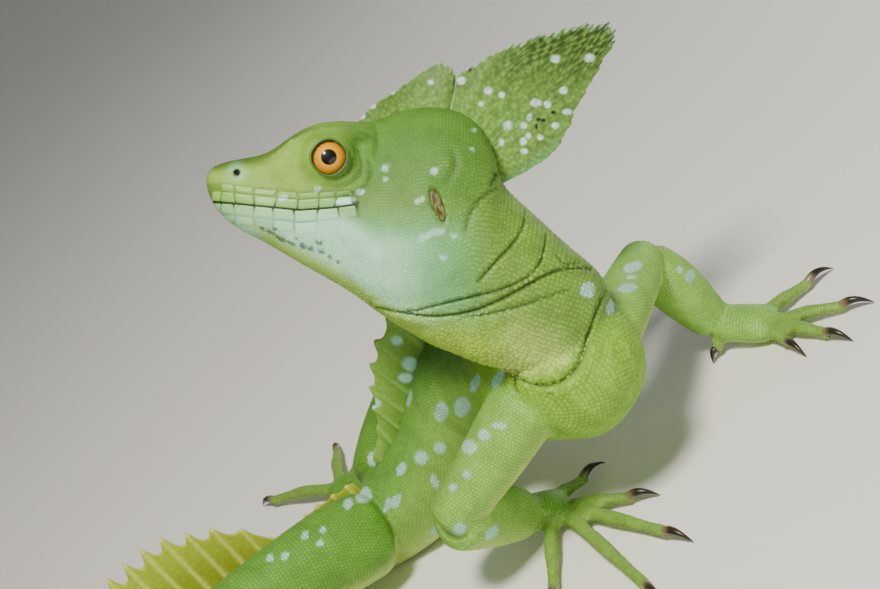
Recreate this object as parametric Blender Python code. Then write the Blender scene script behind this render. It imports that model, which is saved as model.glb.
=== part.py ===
"""A green basilisk lizard, adult male, life size: head turned back over its right shoulder, chest low,
tail curled round on the floor. One object for each part of the body; all lengths are in millimetres
until a mesh is made, and +Z is up from the floor."""

import math

import bmesh
import bpy
import numpy as np

MM = 0.001
GAP = 0.3
UP = np.array([0.0, 0.0, 1.0])

# The middle of the footprint, which becomes the origin on the floor
FOOTPRINT_CENTRE = (-69.602, -32.784)

# Trunk: points along the middle of the body, from the breast to the hip, then the tail on the floor
BREAST = (23.5, -25.3, 41.0)
CHEST = (15.1, -12.7, 39.6)
MID_BACK = (-7.0, 22.5, 30.5)
LOIN = (-25.0, 28.0, 20.0)
HIP = (-45.3, 33.3, 13.0)
TAIL_ROUTE = (
    (-78, 41), (-112, 38), (-150, 26), (-184, 4), (-208, -28), (-218, -66), (-212, -105),
    (-192, -138), (-162, -162), (-127, -172), (-92, -168), (-60, -155), (-34, -135),
)
# Half width, height above and height below the middle line, at points of the trunk and tail
TRUNK_SIZES = (
    # mm along, half width, above, below, squareness
    (0.0, 2.5, 2.5, 2.5, 2.0),
    (2.5, 8.0, 8.0, 8.0, 2.0),
    (7.0, 13.0, 13.5, 13.5, 2.0),
    (13.5, 16.5, 17.0, 17.5, 2.1),
    (30.0, 17.0, 18.0, 18.5, 2.1),
    (55.0, 16.5, 17.5, 19.0, 2.1),
    (78.0, 13.5, 13.2, 16.0, 2.1),
    (104.0, 10.8, 9.8, 13.2, 2.1),
    (122.0, 9.4, 9.6, 11.0, 2.1),
    (160.0, 7.6, 9.4, 9.2, 2.1),
    (220.0, 5.6, 7.0, 6.6, 2.1),
    (300.0, 3.9, 4.8, 4.4, 2.0),
    (400.0, 2.5, 2.9, 2.7, 2.0),
    (500.0, 1.5, 1.7, 1.5, 2.0),
    (585.0, 0.9, 0.9, 0.8, 2.0),
)
TORSO_CUT = 60.0
TORSO_END = 108.0
TAIL_CUTS = (108.0, 165.0, 230.0, 300.0, 380.0, 465.0)

# Head frame: x to the snout, y to the animal's left, z to the crown, about the middle of the ears
HEAD_ORIGIN = (11.9, -3.2, 85.2)
SNOUT_WAY = (-0.788, 0.2504, 0.5624)
LEFT_WAY = (0.0, -0.9135, 0.4067)
CROWN_WAY = (0.6157, 0.3205, 0.7199)
HEAD_YAW = 4.0

# Each line: crown point (x, z), throat point (x, z), half width, shift to the left, fullness low down
HEAD_LINES = (
    (50.9, 6.6, 50.6, 3.4, 1.4, 0.0, 0.0),
    (49.8, 8.2, 49.9, 1.6, 3.3, 0.0, 0.0),
    (47.4, 9.4, 47.8, -1.6, 5.0, 0.0, 0.0),
    (43.0, 10.4, 43.6, -5.0, 6.4, 0.0, 0.02),
    (38.0, 11.6, 38.8, -7.5, 7.6, 0.0, 0.04),
    (34.0, 14.2, 34.6, -9.9, 8.7, 0.0, 0.0),
    (29.5, 17.0, 30.2, -12.5, 9.8, 0.0, -0.02),
    (25.0, 18.4, 25.4, -15.2, 10.6, 0.0, 0.0),
    (20.0, 18.6, 20.8, -17.8, 11.4, 0.0, 0.06),
    (14.5, 18.8, 16.0, -21.0, 12.4, 0.0, 0.10),
    (8.5, 21.0, 11.0, -24.6, 13.6, 0.0, 0.12),
    (3.0, 21.8, 6.0, -27.6, 14.4, 0.0, 0.10),
    (-2.5, 21.2, 1.5, -30.1, 14.5, 0.0, 0.06),
    (-7.5, 18.4, -2.5, -31.6, 14.0, 0.0, 0.03),
    (-10.8, 13.2, -5.5, -32.8, 13.5, 0.0, 0.0),
    (-12.6, 6.8, -8.0, -33.8, 13.0, 0.0, 0.0),
    (-16.0, 2.4, -10.0, -34.4, 12.8, 0.0, 0.0),
    (-20.5, -1.6, -12.5, -34.8, 12.8, -0.5, 0.0),
    (-25.5, -6.0, -15.5, -35.4, 13.0, -1.5, 0.0),
    (-31.0, -10.4, -19.0, -36.5, 13.0, -3.0, 0.0),
    (-36.0, -15.0, -23.5, -38.5, 12.5, -5.0, 0.0),
    (-39.0, -22.0, -28.5, -42.0, 10.5, -7.5, 0.0),
)
NECK_CUT = 15.4
# Swellings of the side of the head: x, z, reach along, reach up, how far out
HEAD_SWELLINGS = (
    (3.0, -5.0, 13.0, 11.0, 1.6),
    (-4.5, 11.0, 8.0, 7.5, 1.3),
    (37.0, 4.0, 6.0, 4.0, -0.9),
    (-13.5, 0.0, 5.0, 14.0, -0.9),
)
EYE_AT = (24.4, 7.7, 9.7)
EYE_RADIUS = 5.1
LID_RADIUS = 6.3
LID_OPENING = 3.4
BROW = (
    (37.0, 4.6, 10.0), (32.0, 6.4, 13.2), (26.0, 8.2, 15.2), (19.5, 9.0, 15.6), (15.0, 8.6, 13.6),
)
NOSTRIL_AT = (43.7, 7.1)
EAR_AT = (1.7, -0.6)
EAR_HALF = (1.8, 4.6, 1.1)
EAR_LEAN = 17.0
MOUTH_LINE = ((51.5, 1.0), (44.5, 0.3), (36.0, -0.6), (30.6, -1.2), (24.0, -0.8), (18.9, -0.2))

# Head crests, as edge and root lines in the head's middle plane
REAR_CREST_EDGE = (
    (-3.6, 28.8), (-12.0, 33.8), (-20.0, 37.0), (-29.0, 39.6), (-36.0, 40.4), (-38.4, 37.6),
    (-34.6, 30.2), (-29.4, 20.9), (-25.8, 13.6), (-20.0, 8.8), (-13.4, 5.2),
)
REAR_CREST_ROOT = (
    (-1.6, 17.5), (-4.0, 16.5), (-5.5, 15.0), (-6.8, 13.5), (-7.6, 12.2), (-8.0, 11.2),
    (-8.2, 10.2), (-8.4, 8.8), (-8.4, 7.2), (-8.2, 5.6), (-7.4, 3.8),
)
FRONT_CREST_EDGE = (
    (18.4, 18.0), (16.2, 20.9), (13.3, 23.3), (10.8, 24.8), (6.9, 27.7), (3.5, 30.2), (0.8, 31.5),
    (-1.2, 31.2), (-2.8, 29.6), (-2.9, 27.5),
)
FRONT_CREST_ROOT = (
    (17.6, 15.5), (15.0, 16.2), (12.5, 17.0), (10.4, 17.6), (8.2, 18.0), (5.8, 18.2), (3.6, 18.2),
    (1.8, 18.0), (0.4, 17.6), (-0.6, 17.2),
)

# Back sail and tail crest: mm along the trunk, height above the back
BACK_SAIL = (
    (20.0, 3.0), (28.0, 7.0), (38.0, 11.0), (50.0, 13.0), (58.0, 13.0), (66.0, 12.5), (74.0, 11.0),
    (80.0, 8.5), (86.0, 4.5), (92.0, 2.0),
)
TAIL_CREST = (
    (102.0, 3.4), (112.0, 4.8), (122.0, 4.4), (128.0, 3.4), (130.0, 1.2), (132.4, 1.2), (133.5, 5.0),
    (136.0, 9.0), (140.0, 14.0), (145.0, 19.0), (150.0, 22.0), (156.0, 26.0), (165.0, 28.0),
    (186.0, 28.0), (215.0, 26.5), (250.0, 21.0), (285.0, 13.0), (315.0, 6.0), (335.0, 1.6),
)
RAY_SPACING = 5.6
RAY_HALF = 0.85
WEB_HALF = 0.42
SAIL_LEAN = 0.30
TAIL_LEAN = 0.05

# Limbs: joints in the part's frame, and how thick each stretch is
ARMS = {
    "right": {
        "shoulder": (2.9, -13.8, 41.0), "elbow": (-29.7, -11.0, 26.5), "wrist": (-16.1, 1.0, 7.0),
        "palm": (-8.5, -1.0, 3.5),
        "upper_arm": (8.2, 8.0, 7.3, 6.4, 5.4), "forearm": (7.6, 7.9, 7.6, 6.9, 5.7),
        "tips": ((6.9, 7.9), (11.8, -17.5), (10.5, -39.1), (-2.6, -50.9), (-24.1, -30.2)),
    },
    "left": {
        "shoulder": (23.5, -9.5, 38.6), "elbow": (44.7, 18.4, 33.4), "wrist": (50.3, 17.5, 6.6),
        "palm": (59.1, 7.6, 3.3),
        "upper_arm": (8.0, 7.6, 6.9, 6.2, 5.2), "forearm": (5.4, 6.6, 6.8, 6.0, 5.0),
        "tips": ((43.3, 13.1), (59.5, -9.9), (69.4, -16.5), (80.4, -9.3), (82.2, 13.6)),
    },
}
HAND_THICK, HAND_HALF = 1.75, (5.0, 5.3, 5.9, 5.2)
HAND_ARCH = (0.5, 0.9, 1.2, 1.2, 0.8)
JOINT_REACH = 2.6
LEGS = {
    "right": {
        "hip": (-48.0, 27.6, 14.0), "knee": (-90.8, 12.0, 28.8), "ankle": (-121.0, -20.0, 6.6),
        "palm": (-127.0, -31.0, 4.0),
        "tips": ((-111.0, -41.0), (-118.0, -60.0), (-133.0, -72.0), (-154.0, -73.0), (-150.0, -37.0)),
    },
    "left": {
        "hip": (-42.5, 39.8, 14.0), "knee": (-5.4, 73.6, 28.2), "ankle": (-47.0, 59.0, 6.6),
        "palm": (-56.0, 76.0, 4.0),
        "tips": ((-37.0, 84.0), (-37.0, 99.0), (-53.0, 108.0), (-83.0, 107.0), (-81.0, 77.0)),
    },
}
THIGH = (11.0, 11.4, 10.4, 9.2, 8.2)
SHANK = (7.8, 8.0, 6.8, 5.2, 4.3)
FOOT_THICK, FOOT_HALF = 1.85, (4.5, 4.8, 5.5, 4.8)
# Height of a palm or sole as a share of its width, at the wrist and at the knuckles
PALM_FLAT = (0.92, 0.50)
FOOT_ARCH = (0.6, 1.4, 2.0, 2.2, 1.2)
CLAW = 6.8
# A short digit's claw, as a share of the digit
SHORT_CLAW = 0.42
# How far back toward the wrist each digit is rooted, as a share of the palm
DIGIT_ROOTS = (0.80, 0.10, -0.10, 0.05, 0.35)

SKIN = ("skin_green", (0.36, 0.62, 0.16), 0.5)
CREST = ("crest_yellow_green", (0.62, 0.72, 0.14), 0.5)
IRIS = ("iris_orange", (0.95, 0.55, 0.08), 0.15)


def unit(vector):
    vector = np.asarray(vector, float)
    return vector / np.linalg.norm(vector, axis=-1, keepdims=True)


def smooth(knots, values, at):
    """A natural cubic through the values at the knots, read at the places asked for."""
    knots, values, at = (np.asarray(a, float) for a in (knots, values, at))
    flat = values.reshape(len(knots), -1)
    step = np.diff(knots)
    system = np.eye(len(knots))
    right = np.zeros_like(flat)
    slope = np.diff(flat, axis=0) / step[:, None]
    for k in range(1, len(knots) - 1):
        system[k, k - 1 : k + 2] = step[k - 1], 2 * (step[k - 1] + step[k]), step[k]
        right[k] = 6 * (slope[k] - slope[k - 1])
    bend = np.linalg.solve(system, right)
    k = np.clip(np.searchsorted(knots, at, side="right") - 1, 0, len(step) - 1)
    a, b = (knots[k + 1] - at)[:, None], (at - knots[k])[:, None]
    h = step[k][:, None]
    found = (bend[k] * a**3 + bend[k + 1] * b**3) / (6 * h)
    found += (flat[k] / h - bend[k] * h / 6) * a + (flat[k + 1] / h - bend[k + 1] * h / 6) * b
    return found.reshape(len(at), *values.shape[1:])


def along(points, spacing=1.0):
    """A smooth line through the points, as places about that far apart, and the length up to each."""
    points = np.asarray(points, float)
    chords = np.r_[0, np.cumsum(np.linalg.norm(np.diff(points, axis=0), axis=1))]
    line = smooth(chords, points, np.linspace(0, chords[-1], int(chords[-1] / spacing * 4) + 2))
    lengths = np.r_[0, np.cumsum(np.linalg.norm(np.diff(line, axis=0), axis=1))]
    return line, lengths


def read(table, at):
    """Columns of a size table, read smoothly and without overshoot at the lengths asked for."""
    table = np.asarray(table, float)
    return np.stack([np.interp(at, table[:, 0], column) for column in table[:, 1:].T], axis=1)


def ring(centre, side, up, wide, above, below, square, count):
    """One closed section: an ellipse with its own height above and below, squared off a little."""
    turn = 2 * np.pi * (np.arange(count) + 0.5) / count
    across = np.sign(np.cos(turn)) * np.abs(np.cos(turn)) ** (2 / square) * wide
    rise = np.sign(np.sin(turn)) * np.abs(np.sin(turn)) ** (2 / square)
    rise = rise * np.where(rise > 0, above, below)
    return centre + across[:, None] * side + rise[:, None] * up


def solid_of(rings):
    """A closed mesh through rings of equal count, with a fan at each end."""
    shape = bmesh.new()
    loops = [[shape.verts.new(point) for point in one] for one in rings]
    for first, second in zip(loops, loops[1:]):
        for k in range(len(first)):
            n = (k + 1) % len(first)
            shape.faces.new((first[k], first[n], second[n], second[k]))
    shape.faces.new(loops[0][::-1])
    shape.faces.new(loops[-1])
    bmesh.ops.triangulate(shape, faces=shape.faces)
    bmesh.ops.recalc_face_normals(shape, faces=shape.faces)
    return shape


def piece(name, shape):
    """An object of that mesh, in metres, with nothing below the floor."""
    for vertex in shape.verts:
        vertex.co = vertex.co * MM
    mesh = bpy.data.meshes.new(name)
    shape.to_mesh(mesh)
    shape.free()
    found = bpy.data.objects.new(name, mesh)
    bpy.context.scene.collection.objects.link(found)
    return found


def on_floor(found):
    """What would reach under the floor is flattened onto it, as soft flesh is."""
    for vertex in found.data.vertices:
        vertex.co.z = max(vertex.co.z, 0.0)
    return found


def combined(first, others, operation):
    """The first object joined with, or cut by, the others, which are then removed unless they stay."""
    cutters = bpy.data.collections.new("joined")
    for other in others:
        cutters.objects.link(other)
    change = first.modifiers.new("combine", "BOOLEAN")
    change.operand_type = "COLLECTION"
    change.operation = operation
    change.solver = "MANIFOLD"
    change.collection = cutters
    bpy.context.view_layer.update()
    graph = bpy.context.evaluated_depsgraph_get()
    mesh = bpy.data.meshes.new_from_object(first.evaluated_get(graph))
    first.modifiers.clear()
    first.data = mesh
    bpy.data.collections.remove(cutters)
    return keep_largest(first)


def keep_largest(found):
    """Only the largest closed surface of a mesh stays."""
    shape = bmesh.new()
    shape.from_mesh(found.data)
    bmesh.ops.remove_doubles(shape, verts=shape.verts, dist=1e-7)
    left, groups = set(shape.verts), []
    while left:
        edge, group = [left.pop()], set()
        while edge:
            vertex = edge.pop()
            group.add(vertex)
            for link in vertex.link_edges:
                other = link.other_vert(vertex)
                if other in left:
                    left.discard(other)
                    edge.append(other)
        groups.append(group)
    groups.sort(key=len, reverse=True)
    loose = [vertex for group in groups[1:] for vertex in group]
    bmesh.ops.delete(shape, geom=loose, context="VERTS")
    bmesh.ops.triangulate(shape, faces=shape.faces)
    shape.to_mesh(found.data)
    shape.free()
    return found


def joined(name, pieces):
    first = pieces[0]
    first.name = name
    combined(first, pieces[1:], "UNION")
    remove(pieces[1:])
    return first


def thinned(found, ratio):
    """Fewer triangles, where joining left more than the shape needs."""
    change = found.modifiers.new("thin", "DECIMATE")
    change.ratio = ratio
    bpy.context.view_layer.update()
    graph = bpy.context.evaluated_depsgraph_get()
    mesh = bpy.data.meshes.new_from_object(found.evaluated_get(graph))
    found.modifiers.clear()
    found.data = mesh
    return found


def remove(objects):
    for found in objects:
        bpy.data.objects.remove(found)


def grown(found, by):
    """A copy whose faces stand out by that much, to leave a gap between touching parts."""
    copy = found.copy()
    copy.data = found.data.copy()
    bpy.context.scene.collection.objects.link(copy)
    shape = bmesh.new()
    shape.from_mesh(copy.data)
    shape.normal_update()
    moved = [vertex.co + vertex.normal * by * MM * vertex.calc_shell_factor() for vertex in shape.verts]
    for vertex, place in zip(shape.verts, moved):
        vertex.co = place
    shape.to_mesh(copy.data)
    shape.free()
    return copy


def clear_of(found, *neighbours):
    """The piece, cut back so that it meets its neighbours face to face."""
    cutters = [grown(neighbour, GAP) for neighbour in neighbours]
    combined(found, cutters, "DIFFERENCE")
    remove(cutters)
    return found


def finish(found, material):
    name, colour, roughness = material
    made = bpy.data.materials.get(name)
    if made is None:
        made = bpy.data.materials.new(name)
        made.use_nodes = True
        shader = made.node_tree.nodes["Principled BSDF"]
        shader.inputs["Base Color"].default_value = (*colour, 1.0)
        shader.inputs["Roughness"].default_value = roughness
    found.data.materials.clear()
    found.data.materials.append(made)
    return found


def trunk_line():
    """The middle line from breast to tail tip: tail stations lie as high as their own underside."""
    head = [BREAST, CHEST, MID_BACK, LOIN, HIP]
    flat = np.array([(x, y, 0.0) for x, y in TAIL_ROUTE])
    line, lengths = along(np.vstack([head, flat]))
    sizes = read(TRUNK_SIZES, lengths)
    resting = sizes[:, 2] - 0.7
    settle = np.clip((lengths - 85.0) / 30.0, 0, 1)
    settle = settle * settle * (3 - 2 * settle)
    line[:, 2] = np.where(lengths > 85.0, line[:, 2] * (1 - settle) + resting * settle, line[:, 2])
    return line, lengths


LINE, LENGTHS = trunk_line()


def trunk_frame(at):
    """Centre, side to the animal's right, and up, at lengths along the trunk."""
    at = np.atleast_1d(np.asarray(at, float))
    place = np.stack([np.interp(at, LENGTHS, LINE[:, k]) for k in range(3)], axis=1)
    ahead = np.stack([np.interp(at - 1.5, LENGTHS, LINE[:, k]) for k in range(3)], axis=1)
    behind = np.stack([np.interp(at + 1.5, LENGTHS, LINE[:, k]) for k in range(3)], axis=1)
    forward = unit(ahead - behind)
    side = unit(np.cross(forward, UP))
    return place, side, np.cross(side, forward)


def trunk_part(name, start, end, spacing, count):
    """A length of the trunk or tail, between two cuts across it."""
    at = np.linspace(start, end, max(3, int(round((end - start) / spacing)) + 1))
    if start == 0.0:
        at = np.unique(np.r_[0.0, 1.0, 2.5, 4.5, 7.0, 10.0, at[at > 10.0]])
    centres, sides, ups = trunk_frame(at)
    sizes = read(TRUNK_SIZES, at)
    rings = [
        ring(centre, side, up, *size, count)
        for centre, side, up, size in zip(centres, sides, ups, sizes)
    ]
    return on_floor(piece(name, solid_of(rings)))


def head_axes():
    """The head's three directions in the part's frame, with its small turn to the left."""
    turn = math.radians(HEAD_YAW)
    snout, left, crown = (unit(way) for way in (SNOUT_WAY, LEFT_WAY, CROWN_WAY))
    snout, left = (
        snout * math.cos(turn) + left * math.sin(turn),
        left * math.cos(turn) - snout * math.sin(turn),
    )
    return np.array([snout, left, crown])


HEAD_AXES = head_axes()


def from_head(points):
    return np.asarray(HEAD_ORIGIN) + np.asarray(points, float) @ HEAD_AXES


def head_surface(lines, turns):
    """Points of the head and neck in the head's frame: each line is a section from crown to throat,
    and a turn goes round it from the crown (0) down the left side to the throat (pi)."""
    lines = np.asarray(lines, float)
    table = smooth(np.arange(len(HEAD_LINES)), np.array(HEAD_LINES), lines)
    crown, throat = table[:, None, 0:2], table[:, None, 2:4]
    half, shift, low = table[:, None, 4], table[:, None, 5], table[:, None, 6]
    rise, out = np.cos(turns)[None], np.sin(turns)[None]
    place = (crown + throat) / 2 + (crown - throat) / 2 * rise[..., None]
    across = np.sign(out) * np.abs(out) ** 0.9 * half * (1 - low * 2 * rise)
    side = np.sign(out) * np.minimum(1, np.abs(out) * 2)
    for x, z, reach, tall, swell in HEAD_SWELLINGS:
        near = np.exp(-(((place[..., 0] - x) / reach) ** 2) - ((place[..., 1] - z) / tall) ** 2)
        across = across + side * swell * near
    return np.stack([place[..., 0], across + shift, place[..., 1]], axis=-1)


def head_side(x, z):
    """How far left the head's side is at a place seen in profile."""
    grid = head_surface(np.linspace(0, NECK_CUT, 150), np.linspace(0.05, np.pi - 0.05, 90))
    off = (grid[..., 0] - x) ** 2 + (grid[..., 2] - z) ** 2
    return grid[..., 1].ravel()[off.argmin()]


def head_part(name, start, end, count, around):
    turns = 2 * np.pi * (np.arange(around) + 0.5) / around
    rings = head_surface(np.linspace(start, end, count), turns)
    return piece(name, solid_of(from_head(rings)))


def tube(name, points, radii, count, flat=1.0):
    """A limb, digit or fold along a line of points with a half width at each, and the height as a
    share of the width."""
    points, radii = np.asarray(points, float), np.asarray(radii, float)
    tall = radii * flat
    way = np.gradient(points, axis=0)
    way = unit(way)
    aside = unit(np.cross(way, UP if abs(way[0][2]) < 0.9 else np.array([1.0, 0, 0])))
    over = np.cross(aside, way)
    rings = [
        ring(p, a, o, r, t, t, 2.0, count) for p, a, o, r, t in zip(points, aside, over, radii, tall)
    ]
    return piece(name, solid_of(rings))


def limb(name, joints, radii, steps, count, flat=(1.0, 1.0)):
    """A limb from joint to joint, round at both ends: radii are read evenly along it."""
    line, lengths = along(joints)
    at = np.linspace(0, 1, steps)
    at = np.unique(np.r_[0.0, 0.02, 0.07, at[1:-1], 0.94, 0.985, 1.0])
    place = np.stack([np.interp(at * lengths[-1], lengths, line[:, k]) for k in range(3)], axis=1)
    thick = smooth(np.linspace(0, 1, len(radii)), np.asarray(radii, float), at)
    ends = np.sqrt(np.clip(1 - (1 - np.clip(at / 0.09, 0.03, 1)) ** 2, 0, 1))
    ends = ends * np.sqrt(np.clip(1 - (1 - np.clip((1 - at) / 0.08, 0.04, 1)) ** 2, 0, 1))
    return on_floor(tube(name, place, thick * ends, count, np.interp(at, (0, 1), flat)))


def ball(name, centre, radii, count=12, turn=None):
    """A round body with its own radius along each of three directions, the rows of turn."""
    shape = bmesh.new()
    bmesh.ops.create_uvsphere(shape, u_segments=count, v_segments=max(6, count // 2), radius=1.0)
    turn = np.eye(3) if turn is None else np.asarray(turn)
    for vertex in shape.verts:
        vertex.co = np.asarray(centre) + (np.array(vertex.co) * radii) @ turn
    return piece(name, shape)


def digit(name, base, tip, thick, arch, claw=CLAW):
    """A finger or toe from the palm to its last joint, and its claw, which curves down to the floor."""
    base, tip = np.asarray(base, float), np.asarray(tip, float)
    way = unit(tip - base)
    claw = min(claw, SHORT_CLAW * np.linalg.norm(tip - base))
    share = np.linspace(0, 1, 6)
    line = base + (tip - way * claw - base) * share[:, None]
    line[:, 2] += arch * np.sin(np.pi * share) + (thick * 1.15 - line[:, 2]) * share**2
    bulge = 1 + 0.07 * np.cos(share * 4 * np.pi)
    finger = on_floor(tube(name, line, thick * (1.14 - 0.36 * share) * bulge, 6))
    steps = np.linspace(0, 1, 4)
    hook = line[-1] - way * 1.2 + way * (claw + 1.2) * steps[:, None]
    hook[:, 2] = line[-1][2] + 0.2 + 1.2 * np.sin(np.pi * steps * 0.9) - (line[-1][2] + 0.3) * steps**2.2
    nail = on_floor(tube(name + "_claw", hook, thick * 0.60 * (1 - 0.85 * steps**1.4), 5))
    return [finger, nail]


def paw(name, wrist, palm, tips, thick, palm_half, arches):
    """A hand or foot: a palm with five digits sunk into it and fused."""
    wrist, palm = np.asarray(wrist, float), np.asarray(palm, float)
    reach = palm + (palm - wrist) * 0.25
    line = [wrist, (wrist + palm) / 2 + (0, 0, 0.4), reach]
    parts = [limb(name, line, palm_half, 7, 14, PALM_FLAT)]
    for k, (tip, arch, back) in enumerate(zip(tips, arches, DIGIT_ROOTS)):
        root = palm + (wrist - palm) * back
        toward = unit(np.array([*tip, 0.0]) - np.array([*root[:2], 0.0]))
        base = root + toward * palm_half[2] * 0.45
        base[2] = max(thick, palm[2] - 0.6)
        parts += digit(f"{name}_{k}", base, (*tip, 0.4), thick, arch)
    return joined(name, parts)


def fan(name, roots, edges, root_half, edge_half, rows, sway):
    """A thin crest between a root line and an edge line; the half thickness at each column makes rays,
    and both faces are split into triangles alike."""
    share = np.linspace(0, 1, rows + 1)[:, None, None]
    sheet = roots[None] * (1 - share) + edges[None] * share + sway[None] * share
    half = root_half[None, :, None] * (1 - share) + edge_half[None, :, None] * share
    forward = np.gradient(sheet, axis=1)
    rise = np.gradient(sheet, axis=0)
    normal = unit(np.cross(forward, rise))
    shape = bmesh.new()
    faces = []
    for side in (1, -1):
        made = [[shape.verts.new(p) for p in row] for row in sheet + normal * half * side]
        faces.append(made)
    for made, flip in zip(faces, (False, True)):
        for i in range(rows):
            for j in range(len(roots) - 1):
                a, b, c, d = made[i][j], made[i][j + 1], made[i + 1][j + 1], made[i + 1][j]
                for corners in ((a, b, c), (a, c, d)):
                    shape.faces.new(corners[::-1] if flip else corners)
    first, second = faces
    rim = [(0, j) for j in range(len(roots))] + [(i, len(roots) - 1) for i in range(1, rows + 1)]
    rim += [(rows, j) for j in range(len(roots) - 2, -1, -1)] + [(i, 0) for i in range(rows - 1, 0, -1)]
    for (i, j), (k, m) in zip(rim, rim[1:] + rim[:1]):
        shape.faces.new((first[i][j], second[i][j], second[k][m], first[k][m]))
    bmesh.ops.triangulate(shape, faces=[f for f in shape.faces if len(f.verts) > 3])
    bmesh.ops.recalc_face_normals(shape, faces=shape.faces)
    return piece(name, shape)


def head_crest(name, roots, edges, columns):
    """A crest of the head in its middle plane, with low ridges from root to edge."""
    share = np.linspace(0, 1, columns)
    knots = np.linspace(0, 1, len(roots))
    root = smooth(knots, np.array(roots), share)
    edge = smooth(knots, np.array(edges), share)
    flat = [np.stack([p[:, 0], np.zeros(columns), p[:, 1]], axis=1) for p in (root, edge)]
    ridge = np.where(np.arange(columns) % 2 == 0, 0.22, -0.14)
    sway = np.stack([np.zeros(columns), 0.9 * np.sin(share * 9.0), np.zeros(columns)], axis=1)
    ways = [from_head(p) for p in flat]
    return fan(name, *ways, 1.25 + ridge, 0.55 + ridge * 0.6, 5, sway @ HEAD_AXES)


def trunk_crest(name, heights, start, end, rows, lean):
    """A length of the back sail or tail crest: a ray every few millimetres, with the web thinner and
    lower between them."""
    rays = max(2, int(round((end - start) / RAY_SPACING)))
    at = np.linspace(start, end, 2 * rays + 1)
    table = np.array(heights)
    tall = np.interp(at, table[:, 0], table[:, 1])
    on_ray = np.arange(len(at)) % 2 == 1
    tall = tall * np.where(on_ray, 1.0, 0.86)
    centres, sides, ups = trunk_frame(at)
    above = read(TRUNK_SIZES, at)[:, 1:2]
    backward = np.cross(ups, sides)
    roots = centres + ups * (above - 2.6)
    edges = centres + ups * (above + tall[:, None]) + backward * (lean * tall[:, None])
    half = np.where(on_ray, RAY_HALF, WEB_HALF)
    sway = sides * (0.5 * np.sin(at * 0.35))[:, None]
    return fan(name, roots, edges, half + 0.25, half * 0.75, rows, sway)


def build_head():
    """Head with its lips, lids, brow ridges, nostrils and ear cups, and the two eyes."""
    head = head_part("head", 0.0, NECK_CUT, 26, 24)
    eyes, parts, cutters = [], [head], []
    mouth = np.array(MOUTH_LINE)
    fullness = np.linspace(0, 1, 14)
    line = smooth(np.linspace(0, 1, len(mouth)), mouth, fullness)[1:]
    for side, word in ((1, "left"), (-1, "right")):
        flank = np.array([1, side, 1])
        eye = np.array(EYE_AT) * flank
        eyes.append(ball(f"eye_{word}", from_head(eye), (EYE_RADIUS,) * 3, 14, HEAD_AXES))
        parts.append(ball("lid", from_head(eye - (0, 0.5 * side, 0)), (LID_RADIUS,) * 3, 14, HEAD_AXES))
        turn = np.linspace(0, 2 * np.pi, 13)[:-1]
        rim = np.stack([LID_OPENING * 1.18 * np.cos(turn), 4.5 + 0 * turn, LID_OPENING * 1.1 * np.sin(turn)])
        parts.append(closed_tube("rim", from_head((rim.T + EYE_AT) * flank), 0.62, 5))
        brow = from_head(np.array(BROW) * flank)
        parts.append(limb("brow", brow, (0.7, 1.3, 1.6, 1.4, 0.8), 7, 6))
        for rise, thick in ((1.15, 0.85), (-1.25, 0.95)):
            lip = [(x, head_side(x, z + rise) - thick * 0.55, z + rise) for x, z in line]
            lip = from_head(np.array(lip) * flank)
            parts.append(limb("lip", lip, thick * np.array([0.6, 1.0, 1.0, 0.5]), 9, 5))
        x, z = NOSTRIL_AT
        wall = head_side(x, z)
        under, pit = (from_head(np.array([x, wall + out, z]) * flank) for out in (-0.6, 0.9))
        parts.append(ball("nostril_swelling", under, (2.1, 1.5, 1.6), 8, HEAD_AXES))
        cutters.append(ball("nostril", pit, (0.75, 1.3, 0.75), 8, HEAD_AXES))
        lean = math.radians(EAR_LEAN)
        across, rise = math.cos(lean), math.sin(lean)
        tilt = np.array([[across, 0, -rise], [0, 1, 0], [rise, 0, across]])
        x, z = EAR_AT
        middle = from_head(np.array([x, head_side(x, z) + 0.15, z]) * flank)
        cutters.append(ball("ear", middle, np.array(EAR_HALF)[[0, 2, 1]], 12, tilt @ HEAD_AXES))
        cutters.append(ball("socket", from_head(eye), (EYE_RADIUS + GAP,) * 3, 14, HEAD_AXES))
        opening = [from_head((np.array(EYE_AT) + (0, out, 0)) * flank) for out in (1.0, 9.0)]
        cutters.append(tube("opening", opening, (LID_OPENING, LID_OPENING), 12))
    mouth_cut = mouth_cutter(head, line)
    joined("head", parts)
    thinned(head, 0.54)
    combined(head, [*cutters, mouth_cut], "DIFFERENCE")
    remove([*cutters, mouth_cut])
    return head, eyes


def closed_tube(name, points, radius, count):
    """A ring of round section through points that go once round."""
    centre = points.mean(axis=0)
    axis = unit(np.cross(points[0] - centre, points[len(points) // 4] - centre))
    shape = bmesh.new()
    loops = []
    for point in points:
        out = unit(point - centre)
        turn = 2 * np.pi * np.arange(count) / count
        spots = point + radius * (np.cos(turn)[:, None] * out + np.sin(turn)[:, None] * axis)
        loops.append([shape.verts.new(p) for p in spots])
    for first, second in zip(loops, loops[1:] + loops[:1]):
        for k in range(count):
            n = (k + 1) % count
            shape.faces.new((first[k], first[n], second[n], second[k]))
    bmesh.ops.triangulate(shape, faces=shape.faces)
    bmesh.ops.recalc_face_normals(shape, faces=shape.faces)
    return piece(name, shape)


def mouth_cutter(head, line):
    """A thin plate along the mouth, without its core, so that it cuts a groove and not through."""
    half, deep = 0.28, 1.3
    rings = [
        from_head([(x, y, z + h) for y, h in ((20, half), (-20, half), (-20, -half), (20, -half))])
        for x, z in [(line[0][0] + 3, line[0][1]), *line]
    ]
    plate = piece("mouth", solid_of(rings))
    core = grown(head, -deep)
    combined(plate, [core], "DIFFERENCE")
    remove([core])
    return plate


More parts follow.
